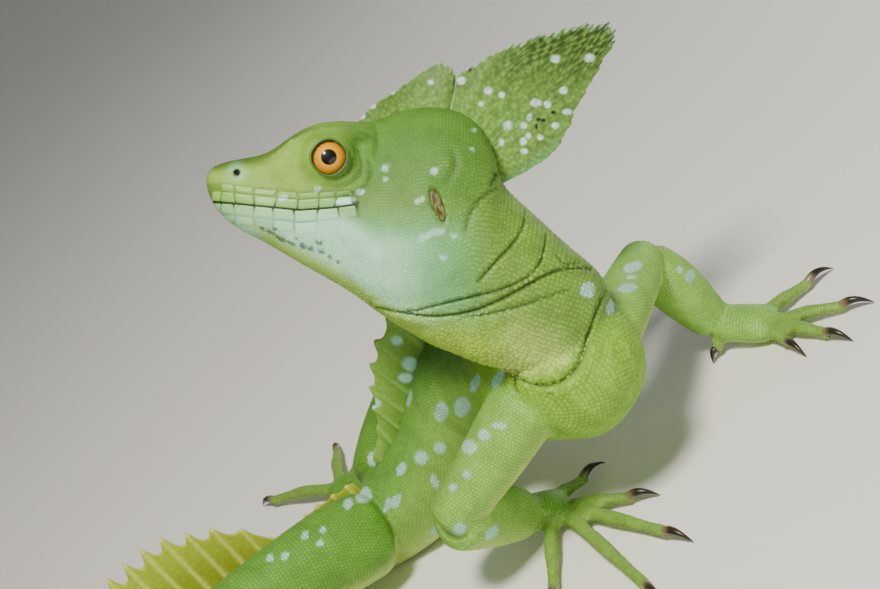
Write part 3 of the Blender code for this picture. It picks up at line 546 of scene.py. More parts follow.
def surface_tree(mesh):
    corners = [tuple(p) for p in mesh_points(mesh)]
    return BVHTree.FromPolygons(corners, [tuple(f.vertices) for f in mesh.polygons])


def seen(points):
    """Pixel across, pixel down and depth of points in the portrait's frame."""
    away = np.asarray(points, float) - CAMERA_AT
    depth = away @ VIEW_WAY
    across = FRAME_WIDE / 2 + FOCAL_PIXELS * (away @ RIGHT_WAY) / depth
    return across, FRAME_HIGH / 2 - FOCAL_PIXELS * (away @ RISE_WAY) / depth, depth


def under_pixel(tree, across, down):
    """The place on a surface that shows at a pixel of the portrait, or nothing."""
    way = VIEW_WAY * FOCAL_PIXELS + RIGHT_WAY * (across - FRAME_WIDE / 2) + RISE_WAY * (FRAME_HIGH / 2 - down)
    place = tree.ray_cast(Vector(CAMERA_AT), Vector(unit(way)))[0]
    return None if place is None else np.array(place)


# Folds of the left side, as lines across the portrait in pixels: depth and half width in mm
FOLDS = (
    (0.8, 0.55, ((527, 213), (522, 230), (500, 258), (478, 283))),
    (0.9, 0.55, ((547, 235), (541, 262), (500, 290), (450, 303), (420, 310), (398, 313))),
    (1.0, 0.60, ((598, 270), (570, 268), (520, 290), (480, 309), (430, 317), (375, 307))),
    (0.6, 0.55, ((568, 290), (540, 300), (500, 312), (462, 318))),
    (1.0, 0.65, ((606, 290), (597, 312), (588, 338), (571, 375), (546, 386), (505, 372))),
    (0.6, 0.55, ((557, 255), (569, 264), (580, 262))),
    (0.35, 1.00, ((452, 150), (455, 165), (447, 181))),
    (0.5, 0.75, ((497, 188), (484, 197), (472, 212), (466, 232))),
    (0.6, 0.75, ((496, 148), (498, 165), (492, 184))),
    (0.35, 0.45, ((351, 152), (352, 166), (343, 176), (326, 178))),
    (0.50, 0.50, ((360, 152), (361, 170), (350, 183), (326, 187))),
    (0.45, 0.50, ((370, 160), (370, 177), (358, 191), (338, 197))),
    (0.40, 0.50, ((372, 118), (377, 138), (374, 158))),
)
# Lumps of loose skin on the nape, in the same pixels: how high and how wide in mm
NAPE_LUMPS = ((557, 243, 1.5, 2.0), (571, 254, 2.0, 2.1), (585, 266, 1.7, 1.9), (597, 278, 1.2, 1.8))
tree_of_skin = surface_tree(skin.data)
lump_places = [
    (under_pixel(tree_of_skin, across, down), high, wide) for across, down, high, wide in NAPE_LUMPS
]
# Places along the neck, and how far to the left its middle lies there
NECK_SHIFT = ((-39, -31, -20, -10), (-7.5, -3.0, -0.5, 0.0))
fold_lines = []
for depth, half, pixels in FOLDS:
    pixels = np.array(pixels, float)
    reach = length_to(pixels)
    dense = smooth(reach, pixels, np.linspace(0, reach[-1], int(reach[-1] / 2.5) + 2))
    places = [under_pixel(tree_of_skin, *pixel) for pixel in dense]
    places = np.array([place for place in places if place is not None])
    fade = np.sin(np.linspace(0.12, 0.88, len(places)) * np.pi) ** 0.5
    fold_lines.append((depth * fade, half, places))
    # The same fold on the other side, where that side's skin is near enough
    mirrored = to_head(places)
    mirrored[:, 1] = 2 * np.interp(mirrored[:, 0], *NECK_SHIFT) - mirrored[:, 1]
    nearest = [tree_of_skin.find_nearest(Vector(place)) for place in from_head(mirrored)]
    kept = np.array([found[3] < 6.0 for found in nearest])
    if kept.any():
        far = np.array([found[0] for found in nearest])
        fold_lines.append(((depth * fade)[kept], half, far[kept]))


def near_to(places, points, margin):
    """Which of the points lie in the places' box, widened by the margin."""
    low, high = places.min(axis=0) - margin, places.max(axis=0) + margin
    return np.flatnonzero(np.all((points > low) & (points < high), axis=1))


def fold_field(points):
    """How deep each point lies in a fold, in mm, and how strongly it lies on a fold's bottom: the depth
    times exp(-(gap / half width)^2), less a low swelling on both sides and the lumps on the nape."""
    deep, dark = np.zeros(len(points)), np.zeros(len(points))
    for middle, high, wide in lump_places:
        deep -= high * np.exp(-((np.linalg.norm(points - middle, axis=1) / wide) ** 2))
    for depths, half, places in fold_lines:
        near = near_to(places, points, 6)
        if not len(near):
            continue
        gaps = np.linalg.norm(points[near, None] - places[None], axis=2)
        closest = gaps.argmin(axis=1)
        gap, depth = gaps[np.arange(len(near)), closest], depths[closest]
        deep[near] = np.maximum(deep[near], depth * np.exp(-((gap / half) ** 2)))
        deep[near] -= 0.30 * depth * np.exp(-(((gap - 1.9) / 0.9) ** 2))
        bottom = np.minimum(depth * 1.3, 1.0) * np.exp(-((gap / (0.62 * half)) ** 2))
        dark[near] = np.maximum(dark[near], bottom)
    return deep, dark


# The openings in profile, in the head's frame: x forward and z up
MOUTH = np.array([
    (15.5, -0.1), (18.9, -0.2), (24.0, -0.8), (30.6, -1.2), (36.0, -0.6), (44.5, 0.3), (51.5, 1.0),
])
NOSTRIL_AT = np.array([44.0, 7.0])
EAR_AT, EAR_HALF, EAR_LEAN = np.array([1.7, -0.4]), np.array([1.2, 3.8]), math.radians(-19.0)


def mouth_at(x):
    """Height of the line of the mouth."""
    return np.interp(x, MOUTH[:, 0], MOUTH[:, 1])


def nostril_reach(head):
    """Distance in profile from the middle of the nostril, in mm, of places in the head's frame."""
    return np.hypot(head[:, 0] - NOSTRIL_AT[0], head[:, 2] - NOSTRIL_AT[1])


def eye_reach(points):
    """Distance from the axis of the nearer eye, in mm, and far off where a point isn't on a face's side."""
    head = to_head(points)
    off = np.hypot(head[:, 0] - EYE_AT[0], head[:, 2] - EYE_AT[2])
    return np.where(np.abs(head[:, 1]) > 6.5, off, 99.0)


def ear_reach(points):
    """1 on the edge of the ear opening, less inside it, on both sides of the head."""
    head = to_head(points)
    x, z = head[:, 0] - EAR_AT[0], head[:, 2] - EAR_AT[1]
    across = x * math.cos(EAR_LEAN) + z * math.sin(EAR_LEAN)
    rise = z * math.cos(EAR_LEAN) - x * math.sin(EAR_LEAN)
    return np.where(np.abs(head[:, 1]) > 8, np.hypot(across / EAR_HALF[0], rise / EAR_HALF[1]), 99.0)


# Faces of 0.37 mm at the folds and openings, so that a crease is a clean line
points = mesh_points(skin.data)
head = to_head(points)
near_fold = np.zeros(len(points), bool)
for _, _, places in fold_lines:
    near = near_to(places, points, 3)
    if len(near):
        near_fold[near] |= np.linalg.norm(points[near, None] - places[None], axis=2).min(axis=1) < 1.7
near_fold |= (eye_reach(points) < LID_OPENING + 1.2) | (ear_reach(points) < 1.4)
near_fold |= (nostril_reach(head) < 1.8) & (np.abs(head[:, 1]) > 3.0)
finer = bmesh.new()
finer.from_mesh(skin.data)
edges = [edge for edge in finer.edges if near_fold[edge.verts[0].index] and near_fold[edge.verts[1].index]]
bmesh.ops.subdivide_edges(finer, edges=edges, cuts=1, use_grid_fill=True)
finer.to_mesh(skin.data)
finer.free()
skin.data.shade_smooth()

points, normals = mesh_points(skin.data), mesh_normals(skin.data)
deep, fold_dark = fold_field(points)
# Each ear opening is a cup of 1 mm with a rim of 0.3 mm round it
from_ear = ear_reach(points)
deep += 1.0 * (1 - eased(from_ear, 0.8, 1.15)) - 0.3 * np.exp(-(((from_ear - 1.35) / 0.25) ** 2))
points = points - normals * deep[:, None]
# The lids' opening: what lies inside it sinks behind the eyeball, and its edge is drawn into a circle
head = to_head(points)
off = head[:, [0, 2]] - EYE_AT[[0, 2]]
reach = eye_reach(points)
edge = (reach > LID_OPENING - 0.55) & (reach < LID_OPENING + 0.35)
head[edge, 0:3:2] = EYE_AT[[0, 2]] + off[edge] * (LID_OPENING / reach[edge])[:, None]
inside = reach <= LID_OPENING - 0.55
head[inside, 1] = np.sign(head[inside, 1]) * np.minimum(np.abs(head[inside, 1]), 8.2)
# A pit of 1.5 mm where each nostril opens
pit = 1.5 * (1 - eased(nostril_reach(head), 0.40, 0.95))
head[:, 1] -= np.sign(head[:, 1]) * pit * (np.abs(head[:, 1]) > 3.0)
points = from_head(head)
points[:, 2] = np.maximum(points[:, 2], 0.0)
skin.data.vertices.foreach_set("co", metres(points).ravel())
skin.data.update()
tree_before_folds, tree_of_skin = tree_of_skin, surface_tree(skin.data)

# Skin colours
# Leaf green with a yellow-green throat and belly, mint-white jaw and pale blue spots, worked out at
# any place from where it lies on the animal, so that the skin and its scales carry one marking.
GREENS = {
    "back": "#659a38", "flank": "#86b848", "belly": "#c6e070", "temple": "#56862e", "snout": "#88b03e",
    "snout_top": "#4e7020", "jaw": "#b0eac0", "cheek": "#6eb26c", "throat": "#a6cc3c", "neck": "#749e38",
    "chest": "#8cc034", "arm": "#8cc04c", "toes": "#84a945", "tail": "#6fa32e", "leg": "#63992c",
}
GREENS = {name: linear(code) for name, code in GREENS.items()}
# Tint of the pale spots, also used for one painted highlight on the upper lip
SPOT_AND_GLINT_TINT = linear("#a9dcc6")
FLECK = linear("#25331f")
FOLD_SHADE = linear("#2c3a16")
# Pale spots of the left side, with one painted highlight on the upper lip at (283, 198): pixels across and
# down, half length, half width, lean in degrees
PALE_SPOTS_AND_LIP_GLINT = (
    (441, 412, 9, 5.5, 80), (462, 407, 10, 6.5, 70), (475, 384, 9, 3, 70), (498, 379, 9, 3.5, 60),
    (440, 448, 5, 5, 0), (421, 458, 6, 5.5, 40), (401, 469, 6.5, 3.5, 65), (469, 447, 6.5, 5.5, 20),
    (484, 435, 5, 4.5, 0), (500, 426, 6, 3, 0), (435, 482, 7, 3, 110), (467, 475, 4, 4, 0),
    (453, 488, 4, 3, 30), (396, 501, 7, 3.5, 60), (387, 505, 7, 2.5, 70), (364, 496, 7, 6, 30),
    (348, 504, 4, 3.5, 0), (383, 444, 6.5, 4.5, 80), (373, 459, 6, 4.5, 75), (401, 409, 8, 3, 75),
    (409, 398, 7, 2.5, 75), (436, 530, 6, 4, 60), (459, 530, 6.5, 5, 60), (492, 533, 7, 5, 45),
    (588, 290, 7, 6, 40), (611, 306, 8, 4, 50), (633, 267, 9, 4, 20), (628, 288, 9, 3.5, 8),
    (632, 277, 5, 2, 8), (690, 276, 6, 4, 60), (680, 270, 3, 3, 0), (305, 535, 3, 3, 0),
    (320, 543, 3, 2.5, 0), (323, 530, 3, 2.5, 0), (285, 556, 3.5, 3, 0), (270, 558, 3, 3, 0),
    (385, 168, 3.2, 3, 0), (434, 171, 3.5, 2.6, 40), (386, 179, 2, 2, 0), (360, 192, 4.5, 2.6, 10),
    (346, 201, 9, 3.2, 5), (283, 198, 4.5, 2.6, 10), (318, 189, 3, 2, 0), (474, 130, 2, 2, 0),
    (472, 149, 2, 2, 0), (419, 201, 5, 2.4, 30), (437, 232, 7, 3, 10), (425, 237, 6, 3, 20),
    (454, 236, 3.5, 2.5, 0), (443, 258, 3, 2.5, 0),
)
# Black flecks along the lower jaw, in the same way
FLECKS = (
    (263, 229, 4, 1.6, -30), (272, 233, 5, 1.8, -25), (281, 239, 5, 2.2, -25), (275, 229, 2, 1.5, 0),
    (291, 243, 5, 1.8, -25), (303, 246, 4, 2.4, -30), (311, 249, 3, 2, 0), (319, 243, 4, 1.8, -20),
    (322, 252, 3, 2, 0), (330, 257, 2.5, 1.6, 0), (296, 238, 2, 1.5, 0), (338, 262, 2, 1.5, 0),
)


def mark_places(marks, enlarged):
    """Each mark's place on the skin, its two ways across the surface and its half length and width in mm."""
    found = []
    for across, down, long, wide, lean in marks:
        place = under_pixel(tree_of_skin, across, down)
        if place is not None:
            pixel = enlarged * ((place - CAMERA_AT) @ VIEW_WAY) / FOCAL_PIXELS
            turn = math.radians(lean)
            way = math.cos(turn) * RIGHT_WAY + math.sin(turn) * RISE_WAY
            over = math.cos(turn) * RISE_WAY - math.sin(turn) * RIGHT_WAY
            found.append((place, way, over, long * pixel, wide * pixel))
    return found


spot_and_glint_places, fleck_places = mark_places(PALE_SPOTS_AND_LIP_GLINT, 1.2), mark_places(FLECKS, 1.1)
chance = np.random.default_rng(7)
# The side away from the portrait is spotted in the same way, in two broken rows along the flank
far_spots = [(s, 0.35 + 0.5 * (k % 2)) for k, s in enumerate(np.arange(26, 190, 7.5))]
for s, turn in far_spots:
    turns = (np.pi - turn + chance.normal(0, 0.08),) if s < 128 else (turn, np.pi - turn)
    for one in turns:
        place = trunk_surface(s + chance.normal(0, 1.2), one)
        _, side, up = trunk_frame(s)
        forward = np.cross(up, side)
        size = chance.uniform(1.0, 2.0) * np.interp(s, (0, 110, 190), (1, 0.7, 0.5))
        spot_and_glint_places.append((place, up, forward, size * 1.3, size * 0.8))


def spotted(points, marks):
    """How far each point lies inside a mark, from 0 to 1: an ellipse in the surface, with depth 5 mm."""
    found = np.zeros(len(points))
    for place, way, over, long, wide in marks:
        near = np.flatnonzero(np.abs(points - place).max(axis=1) < long + 5)
        if len(near):
            off = points[near] - place
            reach = (off @ way / long) ** 2 + (off @ over / wide) ** 2
            reach = reach + (off @ np.cross(way, over) / 6.0) ** 4
            found[near] = np.maximum(found[near], 1 - eased(reach, 0.75, 1.25))
    return found


def mixed(first, second, share):
    share = np.clip(np.asarray(share, float), 0, 1)[:, None]
    return first * (1 - share) + second * share


def marking(points, normals, shares, up):
    """The skin's colour at each point, from its share of each region, how far its surface faces the back,
    its place along the head or trunk, the pale spots with one painted highlight on the upper lip, and the
    black flecks."""
    back = np.einsum("ij,ij->i", normals, up)
    head = to_head(points)
    x, z = head[:, 0], head[:, 2]
    table = smooth(np.arange(len(HEAD_LINES)), HEAD_LINES, np.linspace(0, 21, 120))
    under_mouth = mouth_at(x) - z
    low = z - np.interp(x, table[::-1, 2], table[::-1, 3])

    face = mixed(GREENS["neck"], GREENS["temple"], eased(x, -16, -2) * eased(z, -8, 6))
    face = mixed(face, GREENS["snout"], eased(x, 14, 34))
    face = mixed(face, GREENS["snout_top"], eased(x, 22, 34) * eased(back, 0.35, 0.85))
    behind = eased(-x, -26, -12)
    of_cheek = eased(x, -12, 2) * eased(under_mouth, -2.5 + behind, 3.0 + 5.0 * behind)
    face = mixed(face, GREENS["cheek"], of_cheek * 0.9)
    of_jaw = eased(x, -2, 16) * eased(under_mouth, -0.5 + 4.0 * behind, 2.0 + 9.0 * behind)
    face = mixed(face, GREENS["jaw"], of_jaw)
    face = mixed(face, GREENS["throat"], eased(-low, -4.5, -1.0) * eased(-x, -44, -36) * 0.9)
    face = mixed(face, GREENS["jaw"], 0.35 * (1 - eased(nostril_reach(head), 1.0, 3.2)))
    face = mixed(face, GREENS["throat"], eased(-x, -14, 4) * eased(-low, -11, -2))
    of_neck = eased(-x, 8, 18)
    face = mixed(face, GREENS["neck"], of_neck * eased(low, 8, 18))
    face = mixed(face, GREENS["belly"], of_neck * (1 - eased(low, 3, 16)) * 0.7)

    trunk = mixed(GREENS["flank"], GREENS["back"], eased(back, 0.2, 0.9))
    trunk = mixed(trunk, GREENS["belly"], eased(-back, 0.1, 0.8))
    trunk = mixed(trunk, GREENS["chest"], eased(-points[:, 1], -4, 8))
    along_tail = eased(-points[:, 0], 60, 110)
    trunk = mixed(trunk, GREENS["tail"], along_tail * eased(back, -0.6, 0.2))
    bands = 0.5 + 0.5 * np.sin(np.linalg.norm(points[:, :2] - np.array([-48.0, 39.0]), axis=1) / 5.2)
    trunk = mixed(trunk, GREENS["back"] * 0.75, along_tail * eased(bands, 0.7, 0.95) * 0.35)
    colour = face * shares[:, HEAD, None] + trunk * shares[:, TRUNK, None]
    for of_limb, name in ((ARM, "arm"), (LEG, "leg"), (TOES, "toes")):
        limb = mixed(GREENS[name], GREENS["belly"], eased(-back, 0.2, 0.9) * 0.8)
        limb = mixed(limb, GREENS["back"], eased(back, 0.5, 1.0) * 0.35)
        colour = colour + limb * shares[:, of_limb, None]
    colour = mixed(colour, FLECK, spotted(points, fleck_places) * 0.75)
    # Pale spots, with one painted highlight on the upper lip among them
    return mixed(colour, SPOT_AND_GLINT_TINT, spotted(points, spot_and_glint_places) * 0.92)


def nearest_flesh(points):
    """How much each point belongs to each region, shared out over the nearest places of the flesh, and
    which way its back is."""
    shares, up = np.zeros((len(points), TOES + 1)), np.zeros((len(points), 3))
    for k, point in enumerate(points):
        found = skin_tree.find_n(point, 8)
        which = [one[1] for one in found]
        weight = np.exp([(found[0][2] - one[2]) / 0.9 for one in found])
        np.add.at(shares[k], flesh_region[which], weight / weight.sum())
        up[k] = flesh_up[which[0]]
    return shares, up


def paint(mesh, colours):
    """A linear colour for each point of a mesh, as the attribute that its material reads."""
    tint = mesh.color_attributes.new("tint", "FLOAT_COLOR", "POINT")
    tint.data.foreach_set("color", np.hstack([colours, np.ones((len(colours), 1))]).ravel())


def mottled(tree, shader):
    """Gives a material its mesh's tint, varied from 0.86 to 1.12 of itself in soft patches of about 5 mm.
    Returns the node that holds the mesh's own places."""
    tint = node(tree, "ShaderNodeVertexColor", {"layer_name": "tint"})
    place = node(tree, "ShaderNodeTexCoord")
    mottle = node(tree, "ShaderNodeTexNoise", {"Scale": 220.0, "Detail": 3.0}, {"Vector": (place, "Object")})
    limits = {"From Min": 0.3, "From Max": 0.7, "To Min": 0.86, "To Max": 1.12}
    vary = node(tree, "ShaderNodeMapRange", limits, {"Value": (mottle, "Fac")})
    scaled = {"Vector": (tint, "Color"), "Scale": (vary, "Result")}
    colour = node(tree, "ShaderNodeVectorMath", {"operation": "SCALE"}, scaled)
    tree.links.new(colour.outputs["Vector"], shader.inputs["Base Color"])
    return place


points, normals = mesh_points(skin.data), mesh_normals(skin.data)
shares, up = nearest_flesh(points)
skin_colour = marking(points, normals, shares, up)
head = to_head(points)
# The hide between the scales is painted darker than they are, as painted shade in the gaps, less so on
# the head's small ones, and the painted shade is darkest at the bottom of a fold
on_head = shares[:, HEAD] * eased(head[:, 0], -14, 0)
skin_colour = skin_colour * (0.70 + 0.10 * on_head)[:, None]
skin_colour = mixed(skin_colour, FOLD_SHADE, np.clip(fold_dark, 0, 1) * 0.9)
# Painted shade along the line of the mouth, which the lip plates leave open
off_mouth = np.abs(head[:, 2] - mouth_at(head[:, 0]))
off_mouth = np.where((head[:, 0] > 18) & (np.abs(head[:, 1]) > 1.0), off_mouth, 9.0)
skin_colour = mixed(skin_colour, FOLD_SHADE, (1 - eased(off_mouth, 0.55, 0.95)) * 0.95)
# Painted shade on the hide between the lip plates
below_mouth = head[:, 2] < mouth_at(head[:, 0])
plate_reach = np.interp(head[:, 0], (18.0, 24.0), (2.8, 4.0))
plate_reach = np.where(below_mouth, np.interp(head[:, 0], (26.5, 27.5), (2.5, 4.4)), plate_reach)
between = (1 - eased(off_mouth, plate_reach - 0.3, plate_reach + 0.3)) * (head[:, 0] > 18)
skin_colour = skin_colour * (1 - 0.35 * between)[:, None]
# Painted shade inside each nostril
in_nostril = np.where(np.abs(head[:, 1]) > 2.0, nostril_reach(head), 9.0)
skin_colour = mixed(skin_colour, linear("#0c0d08"), 1 - eased(in_nostril, 0.55, 0.85))
paint(skin.data, skin_colour)

# Hide: a dull, slightly moist ground with grains of 0.7 mm, the smallest that show in the portrait, and
# a little light in it, so that thin edges look soft
place = mottled(tree, shader)
grains = node(tree, "ShaderNodeTexVoronoi", {"Scale": 1400.0}, {"Vector": (place, "Object")})
low_grain = {"Strength": 0.5, "Distance": 0.00012, "invert": True}
bump = node(tree, "ShaderNodeBump", low_grain, {"Height": (grains, "Distance")})
tree.links.new(bump.outputs["Normal"], shader.inputs["Normal"])
shader.inputs["Roughness"].default_value = 0.60
shader.inputs["Specular IOR Level"].default_value = 0.25
shader.inputs["Subsurface Weight"].default_value = 0.08
shader.inputs["Subsurface Radius"].default_value = (0.0012, 0.0016, 0.0005)
shader.inputs["Subsurface Scale"].default_value = 1.0
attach(skin, "root")
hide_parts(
    "head", "neck", "torso_front", "torso_rear",
    "tail_1", "tail_2", "tail_3", "tail_4", "tail_5", "tail_6",
    *[
        f"{part}_{side}"
        for part in ("upper_arm", "forearm", "hand", "thigh", "shank", "foot")
        for side in ("left", "right")
    ],
)

# Scales
# Small keratin scales in rows across the body, each a low six-sided dome seated on the hide. They are
# fine on the head, larger on the throat, chest and tail, and every one differs a little in shade.
# Keratin: a sharper, brighter highlight than the hide's, so that each dome catches the light
scale_keratin, tree, shader = new_material("keratin_scales")
mottled(tree, shader)
shader.inputs["Roughness"].default_value = 0.50
shader.inputs["Specular IOR Level"].default_value = 0.30
# The scales kept so far, by the cell of 1.2 mm that they stand in
CELL, CROWDING = 1.2, 0.64
taken = {}


def thinned(place, size):
    """Which of the scales keep clear of those before them, by a table of the cells that they stand in:
    two middles stay further apart than the mean of the two sizes times the crowding."""
    kept = np.zeros(len(place), bool)
    cells = np.floor(place / CELL).astype(int)
    for k, (spot, cell, reach) in enumerate(zip(place.tolist(), cells.tolist(), size.tolist())):
        a, b, c = cell
        near = [
            other
            for i in (a - 1, a, a + 1) for j in (b - 1, b, b + 1) for m in (c - 1, c, c + 1)
            for other in taken.get((i, j, m), ())
        ]
        if all(
            (spot[0] - x) ** 2 + (spot[1] - y) ** 2 + (spot[2] - z) ** 2
            > ((reach + size_there) * CROWDING / 2) ** 2
            for x, y, z, size_there in near
        ):
            kept[k] = True
            taken.setdefault((a, b, c), []).append((*spot, reach))
    return kept


def bare(place):
    """Where no small scales grow: in the eye, ear and nostril openings, under the lip plates, and at the
    bottom of the deeper creases."""
    head = to_head(place)
    x = head[:, 0]
    rise = head[:, 2] - mouth_at(x)
    over = np.interp(x, (15, 24, 50), (2.0, 4.3, 4.3))
    under = np.interp(x, (15, 26.5, 27.3, 46), (-2.5, -2.7, -5.3, -4.2))
    lips = (x > 17.5) & (rise < over) & (rise > under)
    nostril = nostril_reach(head) < 1.25
    crease = fold_field(place)[1] > 0.50
    return (eye_reach(place) < LID_OPENING + 0.25) | (ear_reach(place) < 1.02) | lips | nostril | crease


# How deep a dome's rim lies in the hide in mm, how far its peak is set back as a share of its length, how
# much lighter the peak is than the tint as a painted highlight, and the half width of its own patch on the baked
# map
RIM_SUNK, PEAK_BACK, PAINTED_PEAK_LIGHT, PATCH = 0.04, 0.18, 1.04, 0.0014


def domes(name, place, normal, ahead, long, wide, high, colours, uv, material, painted_rim_shade):
    """One mesh of low domes: place + ahead * long * cos + aside * wide * sin round six corners, whose rim is
    just in the hide and darkened by painted shade to the given rim factor times the tint, and a peak at high,
    set back and lightened as a painted highlight."""
    aside = np.cross(normal, ahead)
    turn = np.pi / 3 * np.arange(6)
    rim = place[:, None] + (ahead * long[:, None])[:, None] * np.cos(turn)[None, :, None]
    rim = rim + (aside * wide[:, None])[:, None] * np.sin(turn)[None, :, None] - (normal * RIM_SUNK)[:, None]
    peak = place + normal * high[:, None] - ahead * (PEAK_BACK * long)[:, None]
    corners = np.concatenate([rim, peak[:, None]], axis=1).reshape(-1, 3)
    corners[:, 2] = np.maximum(corners[:, 2], 0.0)
    k = np.arange(6)
    start = 7 * np.arange(len(place))[:, None, None]
    faces = (start + np.stack([k, (k + 1) % 6, np.full(6, 6)], axis=1)[None]).reshape(-1, 3)
    made = put(name, corners, faces, material)
    # Painted shade darkens each rim and a painted highlight lightens each peak
    rim_shade, painted_peak_highlight = colours * painted_rim_shade, np.minimum(colours * PAINTED_PEAK_LIGHT, 1)
    shades = np.concatenate([rim_shade[:, None].repeat(6, 1), painted_peak_highlight[:, None]], axis=1)
    paint(made.data, shades.reshape(-1, 3))
    patch = np.vstack([np.stack([np.cos(turn), np.sin(turn)], axis=1), (0, 0)]) * PATCH
    spread = (uv[:, None] + patch[None]).reshape(-1, 2)
    layer = made.data.uv_layers.new(name="OFBake")
    layer.data.foreach_set("uv", spread[faces.ravel()].ravel())
    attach(made, "root")
    return made


def seat_scales(name, roots, forward, size, wide, high, uv, most_gap=1.6, painted_rim_shade=0.93):
    """Scales on the nearest skin to each root, with rims darkened by painted shade to the given rim factor
    times their tint. A root further from the skin than most_gap, in mm, lies under another part and is left
    out, as is one on the floor."""
    found = [tree_of_skin.find_nearest(Vector(root)) for root in roots]
    place = np.array([one[0] for one in found])
    normal = unit(np.array([one[1] for one in found]))
    kept = (np.array([one[3] for one in found]) < most_gap) & (place[:, 2] > 0.2) & ~bare(place)
    kept[kept] = thinned(place[kept], size[kept])
    place, normal, forward, uv = (v[kept] for v in (place, normal, forward, uv))
    size, wide, high = (v[kept] for v in (size, wide, high))
    shares, up = nearest_flesh(place)
    ahead = unit(forward - normal * np.einsum("ij,ij->i", forward, normal)[:, None])
    colours = marking(place, normal, shares, up)
    chance = np.random.default_rng(len(place))
    colours = colours * (1 + 0.07 * chance.standard_normal((len(place), 1)).clip(-2, 2))
    # Scales at the bottom of a fold take painted shade too
    colours = mixed(colours, FOLD_SHADE, np.clip(fold_field(place)[1], 0, 1) * 0.75)
    long, wide = size * 0.57, wide * 0.54
    made = domes(name, place, normal, ahead, long, wide, high, colours, uv, scale_keratin, painted_rim_shade)


def rows(lengths, perimeter, size):
    """Staggered rings of roots: lengths of the rings and turns round each, spaced by the scale's size."""
    at, turns = [], []
    for k, (length, round_it, pitch) in enumerate(zip(lengths, perimeter, size)):
        count = max(5, int(round(round_it / pitch)))
        at.append(np.full(count, length))
        turns.append(2 * np.pi * (np.arange(count) + 0.5 * (k % 2)) / count)
    return np.concatenate(at), np.concatenate(turns)


def spaced(low, high, sizes):
    """Places from low to high, each as far from the last as the size that the table gives there."""
    found = [low]
    while found[-1] < high:
        found.append(found[-1] + float(np.interp(found[-1], *sizes)))
    return np.array(found[:-1])


# Lids: rings of very small scales round each eye
for flank, word in ((1, "left"), (-1, "right")):
    out = np.arange(LID_OPENING + 0.45, 6.6, 0.46)
    at, turns = rows(out, 2 * np.pi * out, np.full(len(out), 0.50))
    rise = np.sqrt(np.maximum(LID_RADIUS**2 - at**2, 1.0)) - 0.5
    roots = EYE_AT + np.stack([at * np.cos(turns), rise, at * np.sin(turns)], axis=1)
    flow = np.stack([-np.sin(turns), 0 * turns, np.cos(turns)], axis=1)
    size = np.full(len(roots), 0.50)
    uv = 0.5 + np.stack([np.cos(turns), np.sin(turns)], axis=1) * (at / 14)[:, None]
    flip = (1, flank, 1)
    roots, flow = from_head(roots * flip), (flow * flip) @ HEAD_AXES
    seat_scales(f"scales_lid_{word}", roots, flow, size, size, size * 0.13, uv, 3.0)

# Head and neck: 0.52 to 0.56 mm on the head, growing to 1.05 mm down the neck, and half as large again
# in the beads under the throat
lines_at = np.linspace(0, 21, 400)
profile = head_surface(lines_at[:, None], around(60)[None])
all_round = np.concatenate([profile, profile[:, :1]], axis=1)
lengths_round = np.linalg.norm(np.diff(all_round, axis=1), axis=2).sum(axis=1)
spine_at = length_to(profile.mean(axis=1))
HEAD_SCALE = ((0, 40, 62, 95), (0.52, 0.56, 0.84, 1.05))
ring_at = spaced(0.6, spine_at[-1], HEAD_SCALE)
ring_line, round_it = np.interp(ring_at, spine_at, lines_at), np.interp(ring_at, spine_at, lengths_round)
at, turns = rows(ring_line, round_it, np.interp(ring_at, *HEAD_SCALE) * 1.06)
roots = from_head(head_surface(at, turns))
back_a_bit = np.minimum(at + 0.05, 21)
ahead = unit(from_head(head_surface(back_a_bit, turns)) - from_head(head_surface(back_a_bit - 0.05, turns)))
size = np.interp(np.interp(at, lines_at, spine_at), *HEAD_SCALE)
low_down = eased(-np.cos(turns), 0.55, 0.85) * eased(at, 5.5, 9)
uv = np.stack([0.02 + 0.96 * at / 21, 0.02 + 0.96 * turns / (2 * np.pi)], axis=1)
chance = np.random.default_rng(11)
bead = low_down * chance.uniform(0.6, 1.4, len(at)) > 0.75
size = np.where(bead, size * 1.5, size)
roots = roots + ahead * (size * chance.uniform(-0.22, 0.22, len(at)))[:, None]
high = size * (0.11 + 0.13 * low_down + 0.05 * eased(at, 11, 14))
# Each piece: its name, which roots, the largest gap in mm, and the share of the tint its rims are painted, as
# painted shade between the scales
for name, pick, gap, painted_rim_shade in (
    ("scales_throat", bead, 3.0, 0.66), ("scales_head", ~bead & (at < 11.0), 4.0, 0.90),
    ("scales_neck", ~bead & (at >= 11.0), 3.0, 0.80),
):
    seat_scales(name, *(v[pick] for v in (roots, ahead, size, size, high, uv)), gap, painted_rim_shade)

